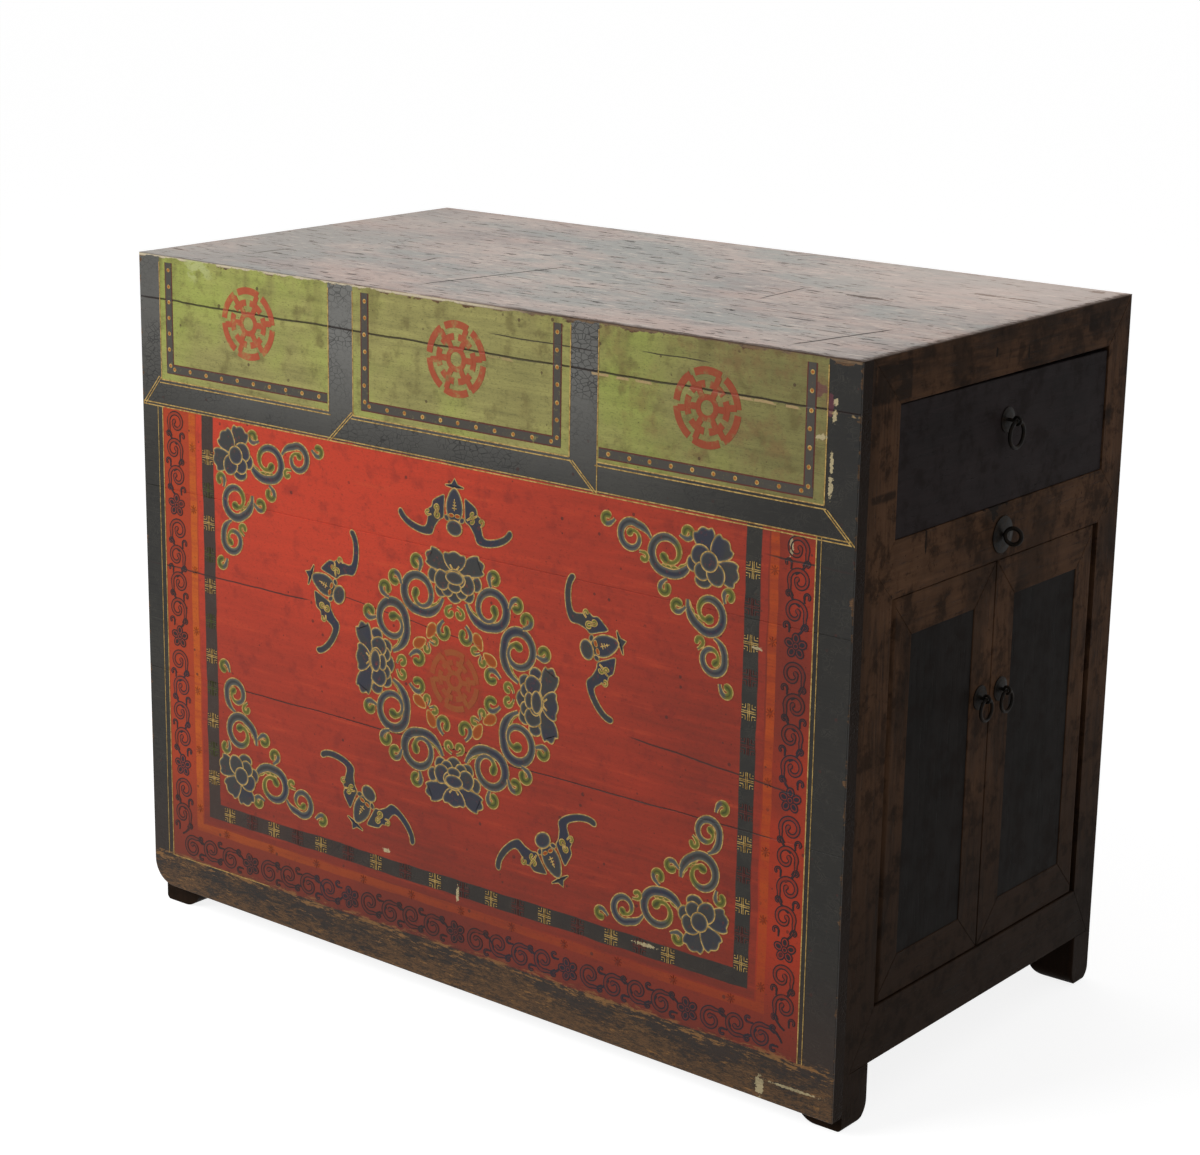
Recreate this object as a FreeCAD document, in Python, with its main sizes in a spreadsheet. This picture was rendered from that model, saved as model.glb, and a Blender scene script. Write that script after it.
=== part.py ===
import FreeCAD, Part
import math
import os
import re

import Sketcher

# Painted cabinet with a drawer and a pair of doors in one end.
# Millimetres. X runs along the painted front towards the doors, Y from the front to the back, Z up.
# The origin is on the floor, under the middle of the whole length, ring pulls and lock eye included.

SIZES = {
    # Whole carcass
    "cabinet_length": 1050,
    "cabinet_depth": 570,
    "cabinet_height": 850,
    # Heights up the end frames, from the floor; the door opening takes what they leave
    "foot_clear": 65,
    "apron_height": 64,
    "mid_rail_height": 63,
    "drawer_opening_height": 145,
    "top_rail_height": 54,
    # Posts and rails
    "post_deep": 60,
    "front_post_wide": 55,
    "back_post_wide": 49,
    "rail_thick": 30,
    "apron_tip_inset": 10,
    "foot_step": 7,
    "front_foot_round": 24,
    "back_foot_round": 18,
    "foot_inner_round": 26,
    "foot_face_round": 6,
    "joint_ease": 0.7,
    "corner_ease": 2.5,
    # Painted front and plain back
    "front_board_thick": 20,
    "front_lift_left": 31,
    "front_lift_right": 18,
    "front_corner_round": 32,
    "front_joint_low": 323,
    "front_joint_high": 560,
    "back_board_thick": 15,
    "back_lift": 30,
    "back_rabbet": 10,
    # Top and floor
    "top_board_thick": 20,
    "batten_wide": 32,
    "batten_thick": 24,
    "floor_thick": 15,
    "floor_drop": 5,
    "ledger_wide": 25,
    "ledger_high": 25,
    "bearer_wide": 30,
    # Left end, closed by panels
    "end_panel_thick": 12,
    "end_panel_recess": 7,
    "panel_tongue": 8,
    # Doors
    "door_thick": 22,
    "door_recess": 1.5,
    "door_gap": 1.5,
    "meeting_shift": 5.5,
    "door_stile_wide": 43,
    "door_rail_high": 46,
    "door_panel_thick": 14,
    "door_panel_recess": 1,
    "tongue_thick": 6,
    "pivot_radius": 6,
    "pivot_bury": 12,
    "pivot_clearance": 0.2,
    "pivot_rest_gap": 0.3,
    "pivot_lift_gap": 1,
    "stop_high": 15,
    "stop_wide": 20,
    "stop_end_gap": 60,
    "stop_touch_gap": 0.3,
    # Drawer and what carries it
    "drawer_length": 620,
    "drawer_front_thick": 18,
    "drawer_recess": 1.5,
    "drawer_gap": 1.2,
    "drawer_run_gap": 0.4,
    "drawer_worn_gap": 5,
    "drawer_side_thick": 12,
    "drawer_side_high": 125,
    "drawer_side_gap": 0.6,
    "drawer_bottom_thick": 8,
    "drawer_bottom_lift": 9,
    "drawer_groove": 5,
    "runner_wide": 28,
    "runner_high": 20,
    "guide_wide": 20,
    "guide_rise": 25,
    "kicker_gap": 2,
    "drawer_stop_long": 20,
    "drawer_stop_high": 20,
    # Iron pulls
    "drawer_ring_outer": 34,
    "drawer_ring_wire": 4.4,
    "drawer_ring_stand": 12.5,
    "drawer_ring_drop": 51,
    "door_ring_outer": 28.5,
    "door_ring_wire": 3.8,
    "door_ring_stand": 9.5,
    "door_ring_drop": 154,
    "staple_wire": 3.2,
    "staple_play": 0.5,
    "staple_seat": 0.2,
    "shank_radius": 2,
    "shank_clearance": 0.2,
    "clinch_long": 9,
    "pull_plate_radius": 14,
    "plate_edge": 1.2,
    "plate_rise": 2.4,
    # Lock eye on the rail between drawer and doors
    "lock_plate_radius": 21,
    "lock_eye_outer": 23,
    "lock_eye_wire": 4.8,
    "lock_eye_stand": 14,
    "lock_eye_drop": 35,
}

LOCK_EYE_TURN = 14
EYE_REACH_SHARE = math.cos(math.radians(LOCK_EYE_TURN))
MID_DOME_SHARE = 0.6
DOME_RISE_SHARE = 0.75
BATTEN_SHARES = (0.25, 0.5, 0.75)
BEARER_SHARES = (0.2, 0.5, 0.8)
TOP_BOARD_SHARES = (0, 0.36, 0.7, 1)
BACK_BOARD_SHARES = (0, 0.31, 0.66, 1)

# Places worked out from the sizes. Each line may use the names above it.
PLACES = {
    "lock_eye_loop": "(lock_eye_outer - lock_eye_wire) / 2",
    "lock_eye_reach": f"lock_eye_stand + lock_eye_loop * {EYE_REACH_SHARE} + lock_eye_wire / 2",
    "left_face": "0 - (cabinet_length + lock_eye_reach) / 2",
    "right_face": "left_face + cabinet_length",
    "front_face": "0 - cabinet_depth / 2",
    "back_face": "cabinet_depth / 2",
    "front_inner": "front_face + front_board_thick",
    "back_inner": "back_face - back_board_thick",
    "front_jamb": "front_inner + front_post_wide",
    "back_jamb": "back_face - back_post_wide",
    "opening_middle": "(front_jamb + back_jamb) / 2",
    "left_post_inner": "left_face + post_deep",
    "right_post_inner": "right_face - post_deep",
    "left_rail_inner": "left_face + rail_thick",
    "right_rail_inner": "right_face - rail_thick",
    "apron_top": "foot_clear + apron_height",
    "drawer_high": "cabinet_height - top_rail_height",
    "drawer_low": "drawer_high - drawer_opening_height",
    "door_high": "drawer_low - mid_rail_height",
    "floor_top": "apron_top - floor_drop",
    "floor_low": "floor_top - floor_thick",
    "top_low": "cabinet_height - top_board_thick",
    "batten_low": "top_low - batten_thick",
    "door_face": "right_face - door_recess",
    "door_back": "door_face - door_thick",
    "door_low": "apron_top + door_gap",
    "door_top": "door_high - door_gap",
    "pivot_place": "door_face - door_thick / 2",
    "meeting_line": "opening_middle - meeting_shift",
    "door_pull_height": "door_high - door_ring_drop",
    "drawer_face": "right_face - drawer_recess",
    "drawer_front_back": "drawer_face - drawer_front_thick",
    "drawer_rear": "drawer_face - drawer_length",
    "drawer_base": "drawer_low + drawer_run_gap",
    "drawer_floor_low": "drawer_base + drawer_bottom_lift",
    "drawer_floor_top": "drawer_floor_low + drawer_bottom_thick",
    "drawer_side_top": "drawer_base + drawer_side_high",
    "stile_middle": "(door_stile_wide + door_gap) / 2",
}

doc = FreeCAD.newDocument("painted_cabinet")
sheet = doc.addObject("Spreadsheet::Sheet", "sizes")
for row, (size_name, size_value) in enumerate(SIZES.items(), start=1):
    sheet.set(f"A{row}", size_name)
    sheet.set(f"B{row}", str(size_value))
    sheet.setAlias(f"B{row}", size_name)
doc.recompute()

nodes = {}


# Helpers

def full(text):
    """Writes a place out until only cells of the sheet are left in it."""
    def spell(match):
        word = match.group(0)
        if word in PLACES:
            return "(" + full(PLACES[word]) + ")"
        return "sizes." + word
    return re.sub(r"[a-z_]+", spell, text)


def bind(item, **sizes):
    """Ties properties of an object to cells; place_x, place_y and place_z move it."""
    for key, text in sizes.items():
        path = ".Placement.Base." + key[-1] if key.startswith("place_") else key
        item.setExpression(path, full(text))


def node(label, item):
    """Marks an object as a finished sub-part with this name."""
    item.Label = label
    nodes[label] = item
    return item


def box(name, x, y, z):
    """A board between two places on each axis."""
    item = doc.addObject("Part::Box", name)
    bind(item, place_x=x[0], place_y=y[0], place_z=z[0])
    bind(item, Length=f"{x[1]} - ({x[0]})", Width=f"{y[1]} - ({y[0]})", Height=f"{z[1]} - ({z[0]})")
    return item


def turned(item, axis, angle):
    item.Placement = FreeCAD.Placement(FreeCAD.Vector(), FreeCAD.Rotation(axis, angle))
    return item


ALONG_X = FreeCAD.Vector(1, 0, 0)
ALONG_Y = FreeCAD.Vector(0, 1, 0)
ALONG_Z = FreeCAD.Vector(0, 0, 1)
QUARTER = 90


def bar(name, x, y, z, radius):
    """A round bar along X between two places."""
    item = turned(doc.addObject("Part::Cylinder", name), ALONG_Y, QUARTER)
    bind(item, place_x=x[0], place_y=y, place_z=z, Radius=radius, Height=f"{x[1]} - ({x[0]})")
    return item


def pin(name, x, y, z, radius):
    """A round pin along Z between two heights."""
    item = doc.addObject("Part::Cylinder", name)
    bind(item, place_x=x, place_y=y, place_z=z[0], Radius=radius, Height=f"{z[1]} - ({z[0]})")
    return item


def hoop(name, axis, x, y, z, outer, wire):
    """A ring of round wire, turned a quarter about an axis."""
    item = turned(doc.addObject("Part::Torus", name), axis, QUARTER)
    bind(item, place_x=x, place_y=y, place_z=z, Radius1=f"({outer} - {wire}) / 2", Radius2=f"{wire} / 2")
    return item


def fuse(name, *items):
    item = doc.addObject("Part::MultiFuse", name)
    item.Shapes = list(items)
    return item


def common(name, base, tool):
    item = doc.addObject("Part::Common", name)
    item.Base = base
    item.Tool = tool
    return item


def cut(name, base, *tools):
    """Takes every tool out of the base, one cut after another."""
    for number, tool in enumerate(tools, start=1):
        item = doc.addObject("Part::Cut", f"{name}_cut_{number}")
        item.Base = base
        item.Tool = tool
        base = item
    return base


def group(name, items):
    item = doc.addObject("Part::Compound", name)
    item.Links = items
    return item


def outline(body, plane, corners):
    """A closed sketch on one of the body's own planes, each corner tied to the sheet."""
    sketch = body.newObject("Sketcher::SketchObject", body.Name + "_outline")
    support = [f for f in body.Origin.OriginFeatures if f.Role == plane][0]
    sketch.AttachmentSupport = [(support, "")]
    sketch.MapMode = "FlatFace"
    count = len(corners)
    spread = [2 * math.pi * n / count for n in range(count + 1)]
    rough = [FreeCAD.Vector(math.cos(a), math.sin(a), 0) for a in spread]
    for n in range(count):
        sketch.addGeometry(Part.LineSegment(rough[n], rough[(n + 1) % count]))
    for n in range(count):
        sketch.addConstraint(Sketcher.Constraint("Coincident", n, 2, (n + 1) % count, 1))
    for n, (across, up) in enumerate(corners):
        for kind, place in (("DistanceX", across), ("DistanceY", up)):
            tie = sketch.addConstraint(Sketcher.Constraint(kind, -1, 1, n, 1, 1))
            sketch.setExpression(f"Constraints[{tie}]", full(place))
    return sketch


def slab(name, plane, corners, thick, **place):
    """A piece with a drawn outline and an even thickness."""
    body = doc.addObject("PartDesign::Body", name)
    sketch = outline(body, plane, corners)
    pad = body.newObject("PartDesign::Pad", name + "_pad")
    pad.Profile = sketch
    bind(pad, Length=thick)
    sketch.Visibility = False
    bind(body, **place)
    doc.recompute()
    return body


def dress(body, kind, size, pick):
    """Rounds or eases the edges of a body that the test picks."""
    last = body.Tip
    frame = last.Shape.BoundBox
    edges = [f"Edge{n}" for n, edge in enumerate(last.Shape.Edges, start=1) if pick(edge, frame)]
    feature = body.newObject("PartDesign::" + kind, body.Name + "_" + kind.lower())
    feature.Base = (last, edges)
    bind(feature, **{"Radius" if kind == "Fillet" else "Size": size})
    doc.recompute()
    return body


SAME = 1e-6


def on_x(edge, place):
    return all(abs(v.X - place) < SAME for v in edge.Vertexes)


def on_y(edge, place):
    return all(abs(v.Y - place) < SAME for v in edge.Vertexes)


def on_z(edge, place):
    return all(abs(v.Z - place) < SAME for v in edge.Vertexes)


def outer_edges(side):
    """Picks the edges round the face that looks out of the right or the left end."""
    return lambda edge, frame: on_x(edge, frame.XMax if side == "right" else frame.XMin)


# Rails of the two end frames, with mitred ends on the face

def end_rails(side):
    """The three rails of one end, and sharp copies of them that the posts are cut with."""
    start = "right_rail_inner" if side == "right" else "left_face"
    middle = "(door_high + drawer_low) / 2"
    top = [("front_jamb", "drawer_high"), ("back_jamb", "drawer_high"),
           ("back_face", "cabinet_height"), ("front_inner", "cabinet_height")]
    mid = [("front_jamb", "door_high"), ("back_jamb", "door_high"),
           ("back_jamb + mid_rail_height / 2", middle), ("back_jamb", "drawer_low"),
           ("front_jamb", "drawer_low"), ("front_jamb - mid_rail_height / 2", middle)]
    low = [("front_inner + apron_tip_inset", "foot_clear"), ("back_face - apron_tip_inset", "foot_clear"),
           ("back_jamb", "apron_top"), ("front_jamb", "apron_top")]
    shaped = []
    sharp = []
    for part, corners in (("top_rail", top), ("mid_rail", mid), ("apron", low)):
        rail = slab(f"{side}_{part}_blank", "YZ_Plane", corners, "rail_thick", place_x=start)
        shaped.append(dress(rail, "Chamfer", "joint_ease", outer_edges(side)))
        sharp.append(slab(f"{side}_{part}_room", "YZ_Plane", corners, "rail_thick", place_x=start))
    return shaped, sharp


# Boards of the top, the painted front, the back and the floor

def spread_boards(label, shares, make):
    """Boards edge to edge; make gets a number and the two shares that a board lies between."""
    return [make(f"{label}_{n}", shares[n - 1], shares[n]) for n in range(1, len(shares))]


def along(start, end, share):
    return f"({start}) + (({end}) - ({start})) * {share}"


between_rails = ("left_rail_inner", "right_rail_inner")
between_posts = ("left_post_inner", "right_post_inner")


def top_board(name, low, high):
    y = [along("front_inner", "back_inner", share) for share in (low, high)]
    return node(name, box(name + "_box", between_rails, y, ("top_low", "cabinet_height")))


def back_board(name, low, high):
    x = ("left_post_inner - back_rabbet", "right_post_inner + back_rabbet")
    z = [along("back_lift", "cabinet_height", share) for share in (low, high)]
    return node(name, box(name + "_box", x, ("back_inner", "back_face"), z))


top_boards = spread_boards("top_board", TOP_BOARD_SHARES, top_board)
back_boards = spread_boards("back_board", BACK_BOARD_SHARES, back_board)

battens = []
for number, share in enumerate(BATTEN_SHARES, start=1):
    edge_place = along(*between_rails, share) + " - batten_wide / 2"
    x = (edge_place, edge_place + " + batten_wide")
    battens.append(box(f"batten_{number}", x, ("front_inner", "back_inner"), ("batten_low", "top_low")))
node("top_battens", group("battens", battens))


def front_board(name, corners):
    """A board of the painted front, eased round its face."""
    board = slab(name + "_body", "XZ_Plane", corners, "front_board_thick", place_y="front_inner")
    return dress(board, "Chamfer", "joint_ease", lambda edge, frame: on_y(edge, frame.YMin))


def front_corners(low_left, low_right, high):
    return [("left_face", low_left), ("right_face", low_right), ("right_face", high), ("left_face", high)]


lowest = slab("front_board_1_body", "XZ_Plane",
              front_corners("front_lift_left", "front_lift_right", "front_joint_low"),
              "front_board_thick", place_y="front_inner")
dress(lowest, "Fillet", "front_corner_round",
      lambda edge, frame: on_x(edge, frame.XMin) and edge.Vertexes[0].Z < frame.ZMin + frame.ZLength / 2
      and abs(edge.Vertexes[0].Z - edge.Vertexes[-1].Z) < SAME)
dress(lowest, "Chamfer", "joint_ease", lambda edge, frame: on_y(edge, frame.YMin))
node("front_board_1", lowest)
levels = ("front_joint_low", "front_joint_high", "drawer_high", "cabinet_height")
for number in range(1, len(levels)):
    name = f"front_board_{number + 1}"
    node(name, front_board(name, front_corners(levels[number - 1], levels[number - 1], levels[number])))

floor_rows = ((between_posts, "front_inner", "front_jamb"), (between_rails, "front_jamb", "opening_middle"),
              (between_rails, "opening_middle", "back_jamb"), (between_posts, "back_jamb", "back_inner"))
floor_boards = [box(f"floor_board_{n}", x, (y_low, y_high), ("floor_low", "floor_top"))
                for n, (x, y_low, y_high) in enumerate(floor_rows, start=1)]
node("floor_boards", group("floor", floor_boards))

ledger_z = ("floor_low - ledger_high", "floor_low")
ledgers = [box("front_ledger", between_posts, ("front_inner", "front_inner + ledger_wide"), ledger_z),
           box("back_ledger", between_posts, ("back_inner - ledger_wide", "back_inner"), ledger_z)]
node("floor_ledgers", group("ledgers", ledgers))
bearers = []
for number, share in enumerate(BEARER_SHARES, start=1):
    edge_place = along(*between_posts, share) + " - bearer_wide / 2"
    x = (edge_place, edge_place + " + bearer_wide")
    y = ("front_inner + ledger_wide", "back_inner - ledger_wide")
    bearers.append(box(f"bearer_{number}", x, y, ledger_z))
node("floor_bearers", group("bearers", bearers))

# Panels that close the left end

end_panel_x = ("left_face + end_panel_recess", "left_face + end_panel_recess + end_panel_thick")
end_panel_y = ("front_jamb - panel_tongue", "back_jamb + panel_tongue")
end_panels = []
for part, low, high in (("lower", "apron_top", "door_high"), ("upper", "drawer_low", "drawer_high")):
    z = (low + " - panel_tongue", high + " + panel_tongue")
    panel = box(f"left_{part}_panel_box", end_panel_x, end_panel_y, z)
    end_panels.append(node(f"left_{part}_panel", panel))

# Posts: each runs to the floor as a rounded foot and is cut back for what is let into it


def post_blank(side, face, y):
    x = ("right_post_inner", "right_face") if side == "right" else ("left_face", "left_post_inner")
    name = f"{side}_{face}_post"
    corners = [(x[0], y[0]), (x[1], y[0]), (x[1], y[1]), (x[0], y[1])]
    post = slab(name + "_body", "XY_Plane", corners, "cabinet_height")
    step = post.newObject("PartDesign::SubtractiveBox", name + "_step")
    step_low = f"{y[1]} - foot_step" if face == "front" else y[0]
    bind(step, Length="post_deep", Width="foot_step", Height="foot_clear", place_x=x[0], place_y=step_low)
    doc.recompute()
    sole = [v.Y for edge in step.Shape.Edges if on_z(edge, 0) for v in edge.Vertexes]

    def side_edge(edge, frame):
        return on_z(edge, 0) and edge.BoundBox.XLength > SAME and (face == "back" or on_y(edge, max(sole)))

    def corner_edge(edge, frame):
        return edge.BoundBox.ZLength > frame.ZLength / 2 and on_y(edge, frame.YMax) \
            and on_x(edge, frame.XMax if side == "right" else frame.XMin)

    dress(post, "Fillet", f"{face}_foot_round", side_edge)
    if face == "back":
        dress(post, "Fillet", "corner_ease", corner_edge)

    toe_corners = [(x[0], "0"), (x[1], "0"), (x[1], "cabinet_height"), (x[0], "cabinet_height")]
    toe = slab(name + "_toe", "XZ_Plane", toe_corners, f"{y[1]} - ({y[0]})", place_y=y[1])

    def sole_edge(outward):
        def pick(edge, frame):
            face_edge = on_x(edge, frame.XMax if side == "right" else frame.XMin)
            return on_z(edge, 0) and edge.BoundBox.YLength > SAME and face_edge == outward
        return pick

    dress(toe, "Fillet", "foot_inner_round", sole_edge(False))
    dress(toe, "Fillet", "foot_face_round", sole_edge(True))
    return common(name + "_foot", post, toe)


rails = {}
for side in ("left", "right"):
    rails[side], rail_rooms = end_rails(side)
    for face, y in (("front", ("front_inner", "front_jamb")), ("back", ("back_jamb", "back_face"))):
        let_in = rail_rooms + top_boards
        if face == "back":
            let_in = let_in + back_boards
        if side == "left":
            let_in = let_in + end_panels
        post = post_blank(side, face, y)
        node(f"{side}_{face}_post", cut(f"{side}_{face}_post", post, *let_in))

# Two doors, each a mitred frame round a panel, turning on wooden pivots left on the hinge stile


def door(side, outer, inner, inward):
    """outer is the hinge edge, inner the meeting edge, inward the sign that leads from one to the other."""
    def across(distance):
        return f"{outer} {inward} {distance}"

    def back_across(distance):
        return f"{inner} {'-' if inward == '+' else '+'} {distance}"

    low, high = "door_low + door_rail_high", "door_top - door_rail_high"
    outlines = {
        "hinge_stile": [(outer, "door_low"), (across("door_stile_wide"), low),
                        (across("door_stile_wide"), high), (outer, "door_top")],
        "meeting_stile": [(inner, "door_low"), (inner, "door_top"),
                          (back_across("door_stile_wide"), high), (back_across("door_stile_wide"), low)],
        "bottom_rail": [(outer, "door_low"), (inner, "door_low"),
                        (back_across("door_stile_wide"), low), (across("door_stile_wide"), low)],
        "top_rail": [(outer, "door_top"), (across("door_stile_wide"), high),
                     (back_across("door_stile_wide"), high), (inner, "door_top")],
    }
    pivot_y = across("door_thick / 2")
    reach = (pivot_y, inner) if inward == "+" else (inner, pivot_y)
    height = ("door_low", "door_top")
    leaf = box(f"{side}_door_leaf", ("door_back", "door_face"), reach, height)
    edge = pin(f"{side}_door_edge", "pivot_place", pivot_y, height, "door_thick / 2")
    swing_room = fuse(f"{side}_door_room", leaf, edge)

    panel_y = (across("door_stile_wide"), back_across("door_stile_wide"))
    if inward == "-":
        panel_y = panel_y[::-1]
    face_x = "door_face - door_panel_recess"
    field = box(f"{side}_door_field", (f"{face_x} - door_panel_thick", face_x), panel_y, (low, high))
    tongue_x = "door_face - (door_thick + tongue_thick) / 2"
    tongue = box(f"{side}_door_tongue", (tongue_x, tongue_x + " + tongue_thick"),
                 (panel_y[0] + " - panel_tongue", panel_y[1] + " + panel_tongue"),
                 (low + " - panel_tongue", high + " + panel_tongue"))
    panel = node(f"{side}_door_panel", fuse(f"{side}_door_panel_solid", field, tongue))

    frame = {}
    for part, corners in outlines.items():
        name = f"{side}_door_{part}"
        blank = slab(name + "_blank", "YZ_Plane", corners, "door_thick", place_x="door_back")
        dress(blank, "Chamfer", "joint_ease", outer_edges("right"))
        frame[part] = cut(name + "_grooved", common(name + "_shaped", blank, swing_room), panel)
    pivots = [pin(f"{side}_door_pivot_low", "pivot_place", pivot_y,
                  ("apron_top - pivot_bury", "door_low + door_stile_wide"), "pivot_radius"),
              pin(f"{side}_door_pivot_high", "pivot_place", pivot_y,
                  ("door_top - door_stile_wide", "door_high + pivot_bury"), "pivot_radius")]
    frame["hinge_stile"] = fuse(f"{side}_door_hinge_stile_solid", frame["hinge_stile"], *pivots)
    for part in ("bottom_rail", "top_rail"):
        frame[part] = cut(f"{side}_door_{part}_bored", frame[part], *pivots)
    holes = [pin(f"{side}_pivot_hole_low", "pivot_place", pivot_y,
                 ("apron_top - pivot_bury - pivot_rest_gap", "apron_top + door_gap"),
                 "pivot_radius + pivot_clearance"),
             pin(f"{side}_pivot_hole_high", "pivot_place", pivot_y,
                 ("door_high - door_gap", "door_high + pivot_bury + pivot_lift_gap"),
                 "pivot_radius + pivot_clearance")]
    return frame, holes


left_door, left_holes = door("left", "front_jamb + door_gap", "meeting_line - door_gap / 2", "+")
right_door, right_holes = door("right", "back_jamb - door_gap", "meeting_line + door_gap / 2", "-")
for part in ("hinge_stile", "bottom_rail", "top_rail"):
    node(f"left_door_{part}", left_door[part])
    node(f"right_door_{part}", right_door[part])

# Iron pulls: a domed plate, a staple clinched behind, and a loose ring in its eye


def domed_plate(name, face, y, z, radius, hole):
    """Turned about X, with its flat side against the wood."""
    body = doc.addObject("PartDesign::Body", name)
    shoulder = (along("plate_edge", "plate_rise", DOME_RISE_SHARE), along(hole, radius, MID_DOME_SHARE))
    corners = [("0", hole), ("plate_rise", hole), shoulder, ("plate_edge", radius), ("0", radius)]
    sketch = outline(body, "XY_Plane", corners)
    turn = body.newObject("PartDesign::Revolution", name + "_turn")
    turn.Profile = sketch
    turn.ReferenceAxis = (sketch, ["H_Axis"])
    sketch.Visibility = False
    bind(body, place_x=face, place_y=y, place_z=z)
    doc.recompute()
    return body


def staple(name, eye, back, y, z, outer, wire, turn=0):
    """An eye of wire whose two legs go through the wood as one shank and are bent apart behind it."""
    loop = hoop(name + "_loop", ALONG_X, eye, y, z, outer, wire)
    loop.Placement.Rotation = FreeCAD.Rotation(ALONG_Z, turn) * loop.Placement.Rotation
    behind = f"{back} - shank_radius"
    shank = bar(name + "_shank", (behind, f"{eye} - ({outer} - {wire}) / 2"), y, z, "shank_radius")
    clinch = pin(name + "_clinch", behind, y, (f"{z} - clinch_long", f"{z} + clinch_long"), "shank_radius")
    return fuse(name + "_solid", loop, shank, clinch)


def pull(name, face, back, y, z, stand, ring):
    """Adds plate, staple and ring; returns the hole that the shank needs."""
    eye_bore = f"{ring}_wire + staple_play * 2"
    eye_outer = f"{eye_bore} + staple_wire * 2"
    eye_x = f"{face} + {stand}"
    hole_radius = "shank_radius + shank_clearance"
    plate = domed_plate(f"{name}_plate_body", face, y, z, "pull_plate_radius", hole_radius)
    node(f"{name}_pull_plate", plate)
    node(f"{name}_staple", staple(f"{name}_staple", eye_x, back, y, z, f"({eye_outer})", "staple_wire"))
    hang = f"{z} - (staple_play - staple_seat)"
    ring_z = f"{hang} - ({ring}_outer - {ring}_wire) / 2"
    loose = hoop(f"{name}_ring_body", ALONG_Y, eye_x, y, ring_z, f"{ring}_outer", f"{ring}_wire")
    node(f"{name}_ring", loose)
    return bar(f"{name}_pull_hole", (back, face), y, z, hole_radius)


for side, frame, place in (("left", left_door, "meeting_line - stile_middle"),
                           ("right", right_door, "meeting_line + stile_middle")):
    hole = pull(f"{side}_door", "door_face", "door_back", place, "door_pull_height",
                "door_ring_stand", "door_ring")
    pierced = cut(f"{side}_door_meeting_stile_pierced", frame["meeting_stile"], hole)
    node(f"{side}_door_meeting_stile", pierced)

# The lock eye is a staple too, fixed in the right middle rail

lock_z = "drawer_low - lock_eye_drop"
hole_radius = "shank_radius + shank_clearance"
node("lock_plate", domed_plate("lock_plate_body", "right_face", "opening_middle", lock_z,
                               "lock_plate_radius", hole_radius))
node("lock_eye", staple("lock_eye", "right_face + lock_eye_stand", "right_rail_inner", "opening_middle",
                        lock_z, "lock_eye_outer", "lock_eye_wire", LOCK_EYE_TURN))
lock_hole = bar("lock_hole", ("right_rail_inner", "right_face"), "opening_middle", lock_z, hole_radius)

# Rails become sub-parts once their grooves and holes are cut

for side in ("left", "right"):
    top, mid, low = rails[side]
    if side == "left":
        top, mid, low = (cut(f"left_{part}_grooved", rail, *end_panels)
                         for part, rail in (("top_rail", top), ("mid_rail", mid), ("apron", low)))
    else:
        mid = cut("right_mid_rail_bored", mid, lock_hole, left_holes[1], right_holes[1])
        low = cut("right_apron_bored", low, left_holes[0], right_holes[0])
    node(f"{side}_top_rail", top)
    node(f"{side}_mid_rail", mid)
    node(f"{side}_apron", low)

stop_x = ("door_back - stop_touch_gap - stop_wide", "door_back - stop_touch_gap")
stop_y = ("front_jamb + stop_end_gap", "back_jamb - stop_end_gap")
node("door_stop", box("door_stop_box", stop_x, stop_y, ("door_high - stop_high", "door_high")))

# Drawer

drawer_y = ("front_jamb + drawer_side_gap", "back_jamb - drawer_side_gap")
inner_y = (f"{drawer_y[0]} + drawer_side_thick", f"{drawer_y[1]} - drawer_side_thick")
grooved_y = (f"{inner_y[0]} - drawer_groove", f"{inner_y[1]} + drawer_groove")
bottom = box("drawer_bottom_box", ("drawer_rear", "drawer_front_back + drawer_groove"), grooved_y,
             ("drawer_floor_low", "drawer_floor_top"))
node("drawer_bottom", bottom)
sheer = [("front_jamb + drawer_gap", "drawer_base"), ("back_jamb - drawer_gap", "drawer_base"),
         ("back_jamb - drawer_gap", "drawer_high - drawer_worn_gap"),
         ("front_jamb + drawer_gap", "drawer_high - drawer_gap")]
front = slab("drawer_front_blank", "YZ_Plane", sheer, "drawer_front_thick", place_x="drawer_front_back")
dress(front, "Chamfer", "joint_ease", outer_edges("right"))
drawer_hole = pull("drawer", "drawer_face", "drawer_front_back", "opening_middle",
                   "drawer_high - drawer_ring_drop", "drawer_ring_stand", "drawer_ring")
node("drawer_front", cut("drawer_front_grooved", front, bottom, drawer_hole))
side_z = ("drawer_base", "drawer_side_top")
for side, y in (("left", (drawer_y[0], inner_y[0])), ("right", (inner_y[1], drawer_y[1]))):
    board = box(f"drawer_{side}_side_box", ("drawer_rear", "drawer_front_back"), y, side_z)
    node(f"drawer_{side}_side", cut(f"drawer_{side}_side_grooved", board, bottom))
node("drawer_back", box("drawer_back_box", ("drawer_rear", "drawer_rear + drawer_side_thick"), inner_y,
                        ("drawer_floor_top", "drawer_side_top")))

# Runners under the drawer, guides beside it, kickers over it and stops behind it

rows = {"left": ("front_jamb", "+"), "right": ("back_jamb", "-")}


def row_y(side, near, far):
    """The two sides of a strip by a jamb, as distances from it towards the middle of the opening."""
    jamb, inward = rows[side]
    places = (f"{jamb} {inward} ({near})", f"{jamb} {inward} ({far})")
    return places if side == "left" else places[::-1]


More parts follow.
